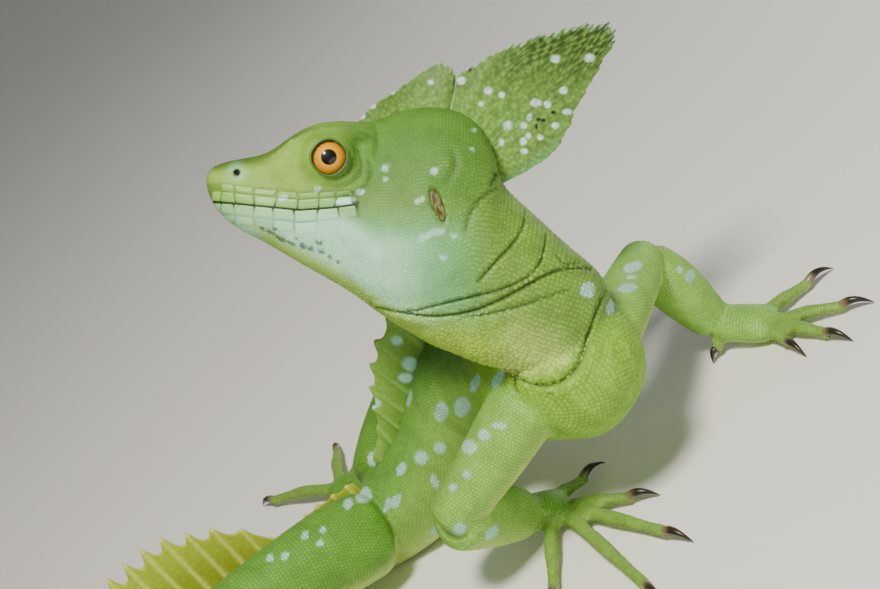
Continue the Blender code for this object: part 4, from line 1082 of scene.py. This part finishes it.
# Digits and limbs: 0.75 mm rings on the digits, 0.82 mm down each arm and 0.88 mm down each leg as one
# sleeve
for name, of_region, step, gap in (
    ("scales_digits", TOES, 0.75, 1.2), ("scales_arms", ARM, 0.82, 4.0), ("scales_legs", LEG, 0.88, 4.0),
):
    roots, forward, uv = [], [], []
    tubes = [row for row in scale_rows if row[2] == of_region]
    for k, (place, radius, _) in enumerate(tubes):
        reach = length_to(place)
        ring_at = np.arange(0.4, reach[-1] - 0.2, step)
        round_it = 2 * np.pi * np.interp(ring_at, reach, radius)
        at, turns = rows(ring_at, round_it, np.full(len(ring_at), step * 1.05))
        way, aside, over = (on_line(at, reach, ways) for ways in tube_frame(place))
        middle = on_line(at, reach, place)
        thick = np.interp(at, reach, radius)[:, None]
        roots.append(middle + thick * (np.cos(turns)[:, None] * aside + np.sin(turns)[:, None] * over))
        forward.append(unit(way))
        wide_grid = math.ceil(math.sqrt(len(tubes)))
        corner = np.array([k % wide_grid, k // wide_grid]) / wide_grid
        on_tube = np.stack([at / reach[-1], turns / (2 * np.pi)], axis=1)
        uv.append(corner + (0.03 + 0.94 * on_tube) / wide_grid)
    roots, forward, uv = np.vstack(roots), np.vstack(forward), np.vstack(uv)
    size = np.full(len(roots), step)
    seat_scales(name, roots, forward, size, size, size * 0.13, uv, gap, 0.86)

# Chest: rows run down from the neck between the arms, as circles about the line from arm to arm
centre, side, up = trunk_frame(13.5)
front = np.cross(up, side)
lean = np.arange(0.05, np.pi - 0.05, 1.2 / 17.0)
at, turns = rows(lean, 2 * np.pi * 17.0 * np.sin(lean), np.full(len(lean), 1.25))
spread = np.sin(at)[:, None] * (np.cos(turns)[:, None] * front + np.sin(turns)[:, None] * up)
roots = centre + 17.2 * (np.cos(at)[:, None] * side + spread)
flow = np.sin(turns)[:, None] * front - np.cos(turns)[:, None] * up
pick = (roots - centre) @ front > -1.0
uv = np.stack([0.02 + 0.96 * at / np.pi, 0.02 + 0.96 * turns / (2 * np.pi)], axis=1)
size = np.full(len(roots), 1.25)
seat_scales("scales_chest", *(v[pick] for v in (roots, flow, size, size, size * 0.23, uv)), 5.0, 0.68)

# Trunk and tail: rings 0.80 to 0.85 mm apart on the trunk, growing to 1.45 mm at the tail's end
TRUNK_SCALE = ((0, 100, 130, 300, 585), (0.80, 0.85, 1.05, 1.25, 1.45))
TRUNK_WIDE = ((0, 100, 130, 300, 585), (0.88, 0.92, 1.05, 1.1, 1.0))
ring_at = spaced(12.5, LENGTHS[-1] - 1.0, TRUNK_SCALE)
sizes = trunk_sizes(ring_at)
perimeter = np.pi * (sizes[:, 0] + (sizes[:, 1] + sizes[:, 2]) / 2)
wide = np.interp(ring_at, *TRUNK_WIDE)
at, turns = rows(ring_at, perimeter, wide)
roots = trunk_surface(at, turns)
_, side, up = trunk_frame(at)
forward = np.cross(side, up)
size, wide = np.interp(at, *TRUNK_SCALE), np.interp(at, ring_at, wide)
uv = np.stack([0.02 + 0.96 * at / LENGTHS[-1], 0.02 + 0.96 * turns / (2 * np.pi)], axis=1)
for name, low, high in (("scales_trunk", 0, 112), ("scales_tail", 112, 600)):
    pick = (at >= low) & (at < high)
    seat_scales(name, *(v[pick] for v in (roots, forward, size, wide, size * 0.18, uv)), painted_rim_shade=0.74)

# Lip plates
# Rows of squarish plates along both lips and one more row below and above, paler than the face, each
# a smooth low cushion that stands a little proud of the hide; the mouth shows as the gap between them.
profile_lines = np.linspace(0.02, 14, 260)
profile_turns = np.linspace(0.12, np.pi - 0.12, 150)
profile_grid = head_surface(profile_lines[:, None], profile_turns[None]).reshape(-1, 3)
profile_tree = KDTree(len(profile_grid))
for k, (x, _, z) in enumerate(profile_grid):
    profile_tree.insert((x, 0.0, z), k)
profile_tree.balance()


def on_face(x, z, flank, tree=None):
    """Place and outward way on the skin at places seen in profile, on the left (1) or right (-1)."""
    tree = tree or tree_of_skin
    found = np.array([profile_tree.find((a, 0.0, b))[1] for a, b in zip(np.ravel(x), np.ravel(z))])
    rough = from_head(np.stack([np.ravel(x), profile_grid[found, 1], np.ravel(z)], axis=1) * (1, flank, 1))
    seat = [tree.find_nearest(Vector(p)) for p in rough]
    shape = (*np.shape(x), 3)
    way = unit(np.array([one[1] for one in seat]))
    return np.array([one[0] for one in seat]).reshape(shape), way.reshape(shape)


def cushion(u, v):
    """1 in the middle of a plate and 0 on its edge, with a flat top: (1 - u^10)(1 - v^10)."""
    return (1 - np.abs(u) ** 10) * (1 - np.abs(v) ** 10)


def grid_faces(rows_n, columns_n, start=0):
    i, j = np.meshgrid(np.arange(rows_n - 1), np.arange(columns_n - 1), indexing="ij")
    k = start + i * columns_n + j
    return np.stack([k, k + 1, k + columns_n + 1, k + columns_n], axis=-1).reshape(-1, 4)


UPPER_LIP_AT = (49.6, 47.4, 44.4, 40.3, 35.6, 31.0, 26.5, 23.0, 19.6)
LOWER_LIP_AT = (49.4, 47.6, 44.6, 40.3, 36.2, 31.7, 26.9, 22.3, 18.6)
# Each row: where its plates meet, bottom and top over the mouth at its front and back, height, colours
LIP_ROWS = (
    (UPPER_LIP_AT, (0.11, 0.08), (2.4, 2.1), 0.17, ("#7cae48", "#88c478")),
    (UPPER_LIP_AT[1:], (2.45, 2.15), (4.2, 3.2), 0.13, ("#70a03c", "#70a850")),
    (LOWER_LIP_AT, (-2.4, -2.6), (-0.11, -0.08), 0.16, ("#94c66c", "#98d0a2")),
    (LOWER_LIP_AT[1:7], (-4.2, -5.3), (-2.45, -2.65), 0.13, ("#90c870", "#a0d8ac")),
)
PLATE_GAP = 0.05
plate_points, plate_faces, plate_colours = [], [], []
chance = np.random.default_rng(3)
for flank in (1, -1):
    for meets, bottom, top, height, shades in LIP_ROWS:
        slants = chance.uniform(-0.35, 0.35, len(meets))
        for k, (front, back) in enumerate(zip(meets, meets[1:])):
            u, v = np.meshgrid(np.linspace(-1, 1, 13), np.linspace(-1, 1, 9), indexing="ij")
            first, last = front + slants[k] * v, back + slants[k + 1] * v
            x = (first + last) / 2 - u * ((first - last) / 2 - PLATE_GAP)
            along_lip = (k + 0.5) / (len(meets) - 1)
            low, high = (np.interp(along_lip, (0, 1), ends) for ends in (bottom, top))
            z = mouth_at(x) + (low + high) / 2 + v * ((high - low) / 2 - PLATE_GAP)
            place, way = on_face(x, z, flank)
            rise = height * cushion(u, v) ** 0.5 * (1 - 0.15 * (u**2 + v**2)) - 0.05
            start = sum(len(p) for p in plate_points)
            plate_points.append((place + way * rise[..., None]).reshape(-1, 3))
            faces = grid_faces(13, 9, start)
            plate_faces += (faces if flank == 1 else faces[:, ::-1]).tolist()
            flat = plate_points[-1]
            shade = mixed(linear(shades[0]), linear(shades[1]), [along_lip])
            shade = shade * (1 + 0.09 * chance.standard_normal())
            # Each plate is painted darker toward its edges, as painted shade between the plates
            shade = shade * (0.70 + 0.30 * cushion(u, v).reshape(-1, 1))
            # Each plate takes some of the hide's own colour, and the last ones melt into the cheek
            of_region, over_back = nearest_flesh(flat)
            hide_there = marking(flat, way.reshape(-1, 3), of_region, over_back)
            melt = 0.25 + 0.6 * float(eased(along_lip, 0.70, 1.0))
            shade = mixed(shade, hide_there, np.full(len(flat), melt))
            shade = mixed(shade, FLECK, spotted(flat, fleck_places) * 0.75)
            # Pale spots on the plates, with the painted highlight on the upper lip among them
            plate_colours.append(mixed(shade, SPOT_AND_GLINT_TINT, spotted(flat, spot_and_glint_places) * 0.9))
lip_keratin, tree, shader = new_material("smooth_keratin_plate")
tint = node(tree, "ShaderNodeVertexColor", {"layer_name": "tint"})
place = node(tree, "ShaderNodeTexCoord")
pits = node(tree, "ShaderNodeTexNoise", {"Scale": 1600.0, "Detail": 3.0}, {"Vector": (place, "Object")})
bump = node(tree, "ShaderNodeBump", {"Strength": 0.25, "Distance": 0.0001}, {"Height": (pits, "Fac")})
tree.links.new(tint.outputs["Color"], shader.inputs["Base Color"])
tree.links.new(bump.outputs["Normal"], shader.inputs["Normal"])
shader.inputs["Roughness"].default_value = 0.42
shader.inputs["Specular IOR Level"].default_value = 0.35
lips = put("lip_plates", np.vstack(plate_points), plate_faces, lip_keratin)
paint(lips.data, np.vstack(plate_colours))
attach(lips, "root")

# Nostrils and ear drums
# A black disc of painted shade lies deep in each nostril's pit; each ear drum is a thin membrane,
# mottled brown and grey-green, sunk in its upright oval opening behind the cheek, with painted shade
# toward its rim.
# Rings of each, as shares of its half sizes, and how far each stands out from the hide, in mm
NOSTRIL_RINGS = np.array([(0.02, 0.5, 1.0), (-1.05, -1.05, -1.05)])
DRUM_RINGS = np.array([(0.02, 0.25, 0.5, 0.75, 0.95, 1.12), (-0.45, -0.42, -0.38, -0.34, -0.36, -0.75)])
pit_points, pit_faces, pit_colours = [], [], []
turn = around(24)
for flank in (1, -1):
    for (ring, sunk), (x_at, z_at), (half_x, half_z), lean in (
        (NOSTRIL_RINGS, NOSTRIL_AT, (0.85, 0.85), 0.0), (DRUM_RINGS, EAR_AT, EAR_HALF, EAR_LEAN),
    ):
        across, rise = ring[:, None] * half_x * np.cos(turn), ring[:, None] * half_z * np.sin(turn)
        x = x_at + across * math.cos(lean) - rise * math.sin(lean)
        z = z_at + across * math.sin(lean) + rise * math.cos(lean)
        place, way = on_face(x, z, flank, tree_before_folds)
        start = sum(len(p) for p in pit_points)
        pit_points.append((place + way[0].mean(axis=0) * sunk[:, None, None]).reshape(-1, 3))
        if half_z < 1:
            # The nostril's disc is painted shade
            shade = linear("#060704")[None].repeat(len(ring) * 24, 0)
        else:
            blotch = 0.5 + 0.3 * np.sin(across * 3.1 + 0.8) * np.sin(rise * 1.9 + 1.1)
            blotch = blotch + 0.2 * np.sin(rise * 4.3 + across * 2)
            shade = mixed(linear("#46330f"), linear("#6c7c34"), eased(blotch, 0.35, 0.75).ravel())
            # Painted shade darkens the drum toward the rim of its opening
            at_edge = (eased(ring, 0.75, 1.0)[:, None] + 0 * turn).ravel()
            shade = mixed(shade, linear("#2b2410"), at_edge * 0.8)
        pit_colours.append(shade)
        faces = ring_faces(len(ring), 24, start)[:, [0, 3, 2, 1]]
        pit_faces += (faces if flank == -1 else faces[:, ::-1]).tolist()
        pit_faces.append([start + k for k in (range(24) if flank == 1 else range(23, -1, -1))])
pits = put("nostrils_and_ear_drums", np.vstack(pit_points), pit_faces, lip_keratin)
paint(pits.data, np.vstack(pit_colours))
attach(pits, "root")

# Eyes
# A wet ball with a round black pupil in an orange iris that is brighter toward the pupil, and a dark
# rim. The lids' free edge is a thin tight ring round it, painted darker on its inner side toward the
# eyeball as painted shade.
eye_wet, tree, shader = new_material("cornea_over_iris")
tint = node(tree, "ShaderNodeVertexColor", {"layer_name": "tint"})
tree.links.new(tint.outputs["Color"], shader.inputs["Base Color"])
shader.inputs["Roughness"].default_value = 0.5
shader.inputs["Specular IOR Level"].default_value = 0.15
shader.inputs["Coat Weight"].default_value = 0.45
shader.inputs["Coat Roughness"].default_value = 0.02
margins, margin_faces, margin_colours = [], [], []
for word, flank in (("left", 1), ("right", -1)):
    polar = np.r_[np.linspace(0.004, 0.95, 70), np.linspace(1.0, np.pi - 0.02, 16)]
    turn = around(96)
    bulge = EYE_RADIUS + 0.22 * np.exp(-((polar / 0.5) ** 2))
    points = from_head((EYE_AT + ball_places(polar, turn) * bulge[:, None, None]) * (1, flank, 1))
    polar_mm = EYE_RADIUS * np.sin(np.minimum(polar, np.pi / 2))[:, None] + 0 * turn
    streaks = 0.5 + 0.25 * np.sin(turn * 31 + 3 * np.sin(turn * 5)) + 0.25 * np.sin(turn * 53 + 1.0)
    iris = mixed(linear("#d29400"), linear("#c07400"), eased(polar_mm, 2.3, 3.4).ravel())
    iris = iris * (0.80 + 0.26 * (streaks[None] + 0 * polar_mm).ravel()[:, None])
    iris = mixed(iris, linear("#e2a800"), (np.exp(-(((polar_mm - 1.85) / 0.22) ** 2)) * 0.5).ravel())
    iris = mixed(iris, linear("#1c1006"), eased(polar_mm, 3.25, 3.55).ravel())
    iris = mixed(linear("#050403")[None].repeat(len(iris), 0), iris, eased(polar_mm, 1.55, 1.68).ravel())
    flat_points, faces = closed(points)
    eye = put(f"eyeball_{word}", flat_points, faces, eye_wet)
    paint(eye.data, np.vstack([iris, iris[:1], iris[-1:]]))
    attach(eye, "root")
    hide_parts(f"eye_{word}")
    spin, tube = around(64), around(14)
    lid_out = LID_OPENING + 0.12 + 0.32 * np.cos(tube)[None]
    lid_height = np.sqrt(LID_RADIUS**2 - LID_OPENING**2) - 0.62 + 0.34 * np.sin(tube)[None]
    wave = 1 + 0.03 * np.cos(spin * 2)[:, None]
    lid_across, lid_rise = lid_out * wave * np.cos(spin)[:, None], lid_out * np.sin(spin)[:, None] / wave
    ring = np.stack([lid_across, lid_height + 0 * spin[:, None], lid_rise], axis=-1)
    start = sum(len(p) for p in margins)
    margins.append(from_head((EYE_AT + ring) * (1, flank, 1)).reshape(-1, 3))
    faces = ring_faces(64, 14, start, joined=True)
    margin_faces += (faces if flank == 1 else faces[:, ::-1]).tolist()
    # Painted shade on the margin's inner side, where it meets the eyeball
    inner = eased(-np.cos(tube), -0.2, 0.8)
    shade = mixed(GREENS["temple"][None].repeat(14, 0) * 0.7, linear("#1a160a"), inner)
    margin_colours.append(np.tile(shade, (64, 1)))
margin = put("lid_margins", np.vstack(margins), margin_faces, lip_keratin)
paint(margin.data, np.vstack(margin_colours))
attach(margin, "root")

# Crests
# Thin skin fins held up by bony rays. Each is one closed sheet whose two faces swell at the rays, with
# its own colours: the head's crests are scaly and spotted, the back's sail green, the tail's yellow.
def web(name, roots, edges, half_root, half_edge, rows_n, shade, material, sway):
    """A closed fin between a root and an edge line of equal counts: root + (edge - root) * share, thick by
    the halves at each column, thinner toward the edge. shade(sheet) gives a colour for each place."""
    columns_n = len(roots)
    share = np.linspace(0, 1, rows_n)[:, None, None]
    sheet = roots[None] * (1 - share) + edges[None] * share + sway * share
    half = half_root[None, :, None] * (1 - share) + half_edge[None, :, None] * share
    ahead, rise = np.gradient(sheet, axis=1), np.gradient(sheet, axis=0)
    normal = unit(np.cross(ahead, rise))
    both = np.stack([sheet + normal * half, sheet - normal * half])
    count = rows_n * columns_n
    faces = [grid_faces(rows_n, columns_n), grid_faces(rows_n, columns_n, count)[:, ::-1]]
    j, i = np.arange(columns_n - 1), np.arange(rows_n - 1)
    top = (rows_n - 1) * columns_n
    faces.append(np.stack([j + 1, j, count + j, count + j + 1], axis=1))
    faces.append(np.stack([top + j, top + j + 1, count + top + j + 1, count + top + j], axis=1))
    left, right = i * columns_n, i * columns_n + columns_n - 1
    faces.append(np.stack([left, left + columns_n, count + left + columns_n, count + left], axis=1))
    faces.append(np.stack([right + columns_n, right, count + right, count + right + columns_n], axis=1))
    made = put(name, both.reshape(-1, 3), np.vstack(faces), material)
    tint = shade(sheet)
    paint(made.data, np.vstack([tint, tint]))
    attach(made, "root")
    return made


def fin_material(name, grain_dark):
    """Thin skin of small flat scales, whose seams are as dark as the share given, with some light shining
    through it."""
    made, tree, shader = new_material(name)
    tint = node(tree, "ShaderNodeVertexColor", {"layer_name": "tint"})
    place = node(tree, "ShaderNodeTexCoord")
    cells = node(tree, "ShaderNodeTexVoronoi", {"Scale": 1000.0}, {"Vector": (place, "Object")})
    limits = {"From Min": 0.0, "From Max": 0.8, "To Min": 1.08, "To Max": grain_dark}
    vary = node(tree, "ShaderNodeMapRange", limits, {"Value": (cells, "Distance")})
    scaled = {"Vector": (tint, "Color"), "Scale": (vary, "Result")}
    colour = node(tree, "ShaderNodeVectorMath", {"operation": "SCALE"}, scaled)
    low_seam = {"Strength": 0.6, "Distance": 0.00015, "invert": True}
    bump = node(tree, "ShaderNodeBump", low_seam, {"Height": (cells, "Distance")})
    tree.links.new(colour.outputs["Vector"], shader.inputs["Base Color"])
    tree.links.new(bump.outputs["Normal"], shader.inputs["Normal"])
    shader.inputs["Roughness"].default_value = 0.55
    shader.inputs["Specular IOR Level"].default_value = 0.25
    shader.inputs["Subsurface Weight"].default_value = 0.25
    shader.inputs["Subsurface Radius"].default_value = (0.0015, 0.0018, 0.0006)
    shader.inputs["Subsurface Scale"].default_value = 1.0
    return made


scaly_fin, pleated_fin = fin_material("scaly_crest_skin", 0.55), fin_material("pleated_fin_membrane", 0.88)

REAR_CREST_EDGE = (
    (-3.6, 28.8), (-12.0, 33.8), (-20.0, 37.0), (-29.0, 39.6), (-36.0, 40.4), (-38.4, 37.6),
    (-34.6, 30.2), (-29.4, 20.9), (-25.8, 13.6), (-20.0, 8.8), (-13.4, 5.2),
)
REAR_CREST_ROOT = (
    (-1.6, 17.5), (-4.0, 16.5), (-5.5, 15.0), (-6.8, 13.5), (-7.6, 12.2), (-8.0, 11.2),
    (-8.2, 10.2), (-8.4, 8.8), (-8.4, 7.2), (-8.2, 5.6), (-7.4, 3.8),
)
FRONT_CREST_EDGE = (
    (18.4, 18.0), (16.2, 20.9), (13.3, 23.3), (10.8, 24.8), (6.9, 27.7), (3.5, 30.2), (0.8, 31.5),
    (-1.2, 31.2), (-2.8, 29.6), (-2.9, 27.5),
)
FRONT_CREST_ROOT = (
    (17.6, 15.5), (15.0, 16.2), (12.5, 17.0), (10.4, 17.6), (8.2, 18.0), (5.8, 18.2), (3.6, 18.2),
    (1.8, 18.0), (0.4, 17.6), (-0.6, 17.2),
)
# Pale spots and black flecks of the head's crests, seen in the portrait: pixels, half sizes
CREST_SPOTS = (
    (461, 81, 5, 4), (474, 64, 3, 2), (431, 83, 3, 3), (488, 91, 4.5, 4), (501, 95, 3.5, 3.5), (481, 104, 3, 2.5),
    (555, 59, 5, 4), (589, 58, 5.5, 4.5), (563, 91, 4.5, 4), (535, 103, 6, 4), (547, 105, 4, 4), (507, 126, 5, 5),
    (523, 126, 4, 4), (529, 118, 3, 4), (501, 143, 3, 4), (523, 142, 3.5, 4), (528, 136, 3, 3.5), (524, 152, 4, 3),
    (567, 112, 5, 3), (555, 126, 4, 3.5), (540, 138, 3, 3), (372, 105, 4, 4), (362, 116, 4, 3), (392, 92, 3, 2.5),
)
CREST_FLECKS = ((553, 113, 2.5, 2), (538, 120, 2.5, 2), (543, 121, 2.5, 2), (536, 127, 1.6, 3), (470, 70, 2, 2))
for name, root, edge, columns, node_name in (
    ("front_crest", FRONT_CREST_ROOT, FRONT_CREST_EDGE, 130, "crest_front"),
    ("rear_crest", REAR_CREST_ROOT, REAR_CREST_EDGE, 300, "crest_rear"),
):
    share = np.linspace(0, 1, columns)
    root, edge = (smooth(np.linspace(0, 1, len(line)), np.array(line), share) for line in (root, edge))
    root, edge = (from_head(np.stack([p[:, 0], np.zeros(columns), p[:, 1]], axis=1)) for p in (root, edge))
    rays = 0.5 + 0.5 * np.cos(share * 2 * np.pi * (11 if columns > 200 else 7))
    ragged = 1 + 0.012 * np.sin(share * 97) + 0.008 * np.sin(share * 61 + 1) + 0.010 * np.sin(share * 233)
    edge = root + (edge - root) * ragged[:, None]
    rear = name == "rear_crest"

    def shade(sheet, rays=rays, rear=rear):
        rows_n, columns_n = sheet.shape[:2]
        up = np.linspace(0, 1, rows_n)[:, None] + 0 * share
        along_it = share[None] + 0 * up
        flat = sheet.reshape(-1, 3)
        colour = mixed(linear("#78aa40"), linear("#668e36"), eased(up, 0.1, 0.9).ravel())
        ray_tone = rays[None] ** 3 * eased(up, 0.15, 0.4) * (0.25 if rear else 0.05)
        colour = mixed(colour, linear("#98c44e"), ray_tone.ravel())
        mint = eased(along_it, 0.72, 0.85) * eased(up, 0.55, 0.95) * 0.7
        colour = mixed(colour, linear("#70b468"), mint.ravel() * rear)
        dark = eased(up, 0.30, 0.92) * eased(along_it, 0.05, 0.25) * (1 - eased(along_it, 0.50, 0.66))
        weave = 0.5 + 0.5 * np.sin(along_it * 150 + 2 * np.sin(up * 19)) * np.sin(
            up * 62 + along_it * 31 + 2 * np.sin(along_it * 47)
        )
        colour = mixed(colour, linear("#232d0a"), (dark * eased(weave, 0.30, 0.62) * 0.85).ravel() * rear)
        grain = 0.5 + 0.5 * np.sin(along_it * 410 + 3 * np.sin(up * 33)) * np.sin(
            up * 140 + 3 * np.sin(along_it * 60)
        )
        colour = mixed(colour, linear("#44631c"), (eased(grain, 0.45, 0.8) * 0.45).ravel())
        beads = eased(up, 0.955, 0.985) * (0.5 + 0.5 * np.sin(along_it * 290))
        beads = beads * (1 - eased(along_it, 0.3, 0.6) * rear)
        colour = mixed(colour, linear("#b4dcb8"), (beads * 0.8).ravel())
        across, down, _ = seen(flat)
        for spots, tone in ((CREST_SPOTS, linear("#cbe6dc")), (CREST_FLECKS, linear("#1c2410"))):
            for a, b, wide, tall in spots:
                off = ((across - a) / wide) ** 2 + ((down - b) / tall) ** 2
                colour = mixed(colour, tone, 1 - eased(off, 0.5, 1.3))
        return colour

    half = 0.42 + (0.13 if rear else 0.04) * rays**2
    sway = (0.9 * np.sin(share * 9.0))[None, :, None] * HEAD_AXES[1]
    crest = web(name, root, edge, half + 0.7, half * 0.6, 90, shade, scaly_fin, sway)
    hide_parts(node_name)

BACK_SAIL = (
    (20.0, 3.0), (28.0, 7.0), (38.0, 11.0), (50.0, 13.0), (58.0, 13.0), (66.0, 12.5), (74.0, 11.0),
    (80.0, 8.5), (86.0, 4.5), (92.0, 2.0),
)
TAIL_CREST = (
    (102.0, 3.4), (112.0, 4.8), (122.0, 4.4), (128.0, 3.4), (130.0, 1.2), (132.4, 1.2), (133.5, 5.0),
    (136.0, 9.0), (140.0, 14.0), (145.0, 19.0), (150.0, 22.0), (156.0, 26.0), (165.0, 28.0),
    (186.0, 28.0), (215.0, 26.5), (250.0, 21.0), (285.0, 13.0), (315.0, 6.0), (335.0, 1.6),
)
SAIL_SPOTS = ((410, 363, 8, 7), (406, 377, 8, 5), (374, 403, 7, 5), (370, 413, 4, 5), (397, 340, 6, 5))
RAY_SPACING = 5.6
for name, heights, lean, tones, nodes in (
    ("back_sail", BACK_SAIL, 0.30, ("#6c9632", "#82aa44", "#88b04c"), ("back_sail_front", "back_sail_rear")),
    (
        "tail_crest", TAIL_CREST, 0.05, ("#86941a", "#a4b426", "#d2da5c"),
        ("tail_crest_1", "tail_crest_2", "tail_crest_3", "tail_crest_4"),
    ),
):
    table = np.array(heights)
    at = np.arange(table[0, 0], table[-1, 0], 0.35)
    phase = (at - at[0]) / RAY_SPACING % 1.0
    ray = np.exp(-(((phase - 0.5) / 0.13) ** 2))
    tall = np.interp(at, table[:, 0], table[:, 1]) * (0.84 + 0.16 * np.exp(-(((phase - 0.5) / 0.22) ** 2)))
    centres, sides, ups = trunk_frame(at)
    above = trunk_sizes(at)[:, 1:2]
    backward = np.cross(ups, sides)
    root = centres + ups * (above - 2.6)
    edge = centres + ups * (above + tall[:, None]) + backward * (lean * tall[:, None])
    half = 0.30 + 0.50 * ray

    def shade(sheet, ray=ray, tones=tones):
        up = np.linspace(0, 1, sheet.shape[0])[:, None] + 0 * ray
        flat = sheet.reshape(-1, 3)
        colour = mixed(linear(tones[0]), linear(tones[1]), eased(up, 0.3, 0.9).ravel())
        colour = mixed(colour, linear(tones[2]), ((ray[None] + 0 * up) * eased(up, 0.1, 0.3)).ravel() * 0.9)
        across, down, _ = seen(flat)
        for a, b, wide, tall_px in SAIL_SPOTS:
            off = ((across - a) / wide) ** 2 + ((down - b) / tall_px) ** 2
            colour = mixed(colour, SPOT_AND_GLINT_TINT, 1 - eased(off, 0.5, 1.3))
        return colour

    sway = (sides * (0.5 * np.sin(at * 0.35))[:, None])[None]
    fin = web(name, root, edge, half + 0.25, half * 0.75, 26, shade, pleated_fin, sway)
    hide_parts(*nodes)

# Claws
# Long curved dark horn, paler at the root, one on each digit, reaching down to the floor.
claw_points, claw_faces, claw_colours = [], [], []
for place, thickness, way in digits:
    steps = np.linspace(0, 1, 14)
    claw, way = np.linalg.norm(way), unit(way)
    hook = place[-1] - way * 1.4 + way * (claw + 1.2) * steps[:, None]
    hook[:, 2] = place[-1][2] + 0.2 + 1.2 * np.sin(np.pi * steps * 0.9) - (place[-1][2] + 0.1) * steps**2.2
    taper = thickness[-1] * 0.80 * (1 - 0.94 * steps**1.8)
    points, faces = closed(tube_rings(hook, taper, around(12)))
    points[:, 2] = np.maximum(points[:, 2], 0.02)
    start = sum(len(p) for p in claw_points)
    claw_points.append(points)
    claw_faces += [[i + start for i in face] for face in faces]
    shade = mixed(linear("#7d7350"), linear("#261c12"), eased(steps, 0.12, 0.40))
    claw_colours.append(np.vstack([shade[:, None].repeat(12, 1).reshape(-1, 3), shade[:1], shade[-1:]]))
horn, tree, shader = new_material("claw_horn")
tint = node(tree, "ShaderNodeVertexColor", {"layer_name": "tint"})
tree.links.new(tint.outputs["Color"], shader.inputs["Base Color"])
shader.inputs["Roughness"].default_value = 0.3
claws = put("claws", np.vstack(claw_points), claw_faces, horn)
paint(claws.data, np.vstack(claw_colours))
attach(claws, "root")
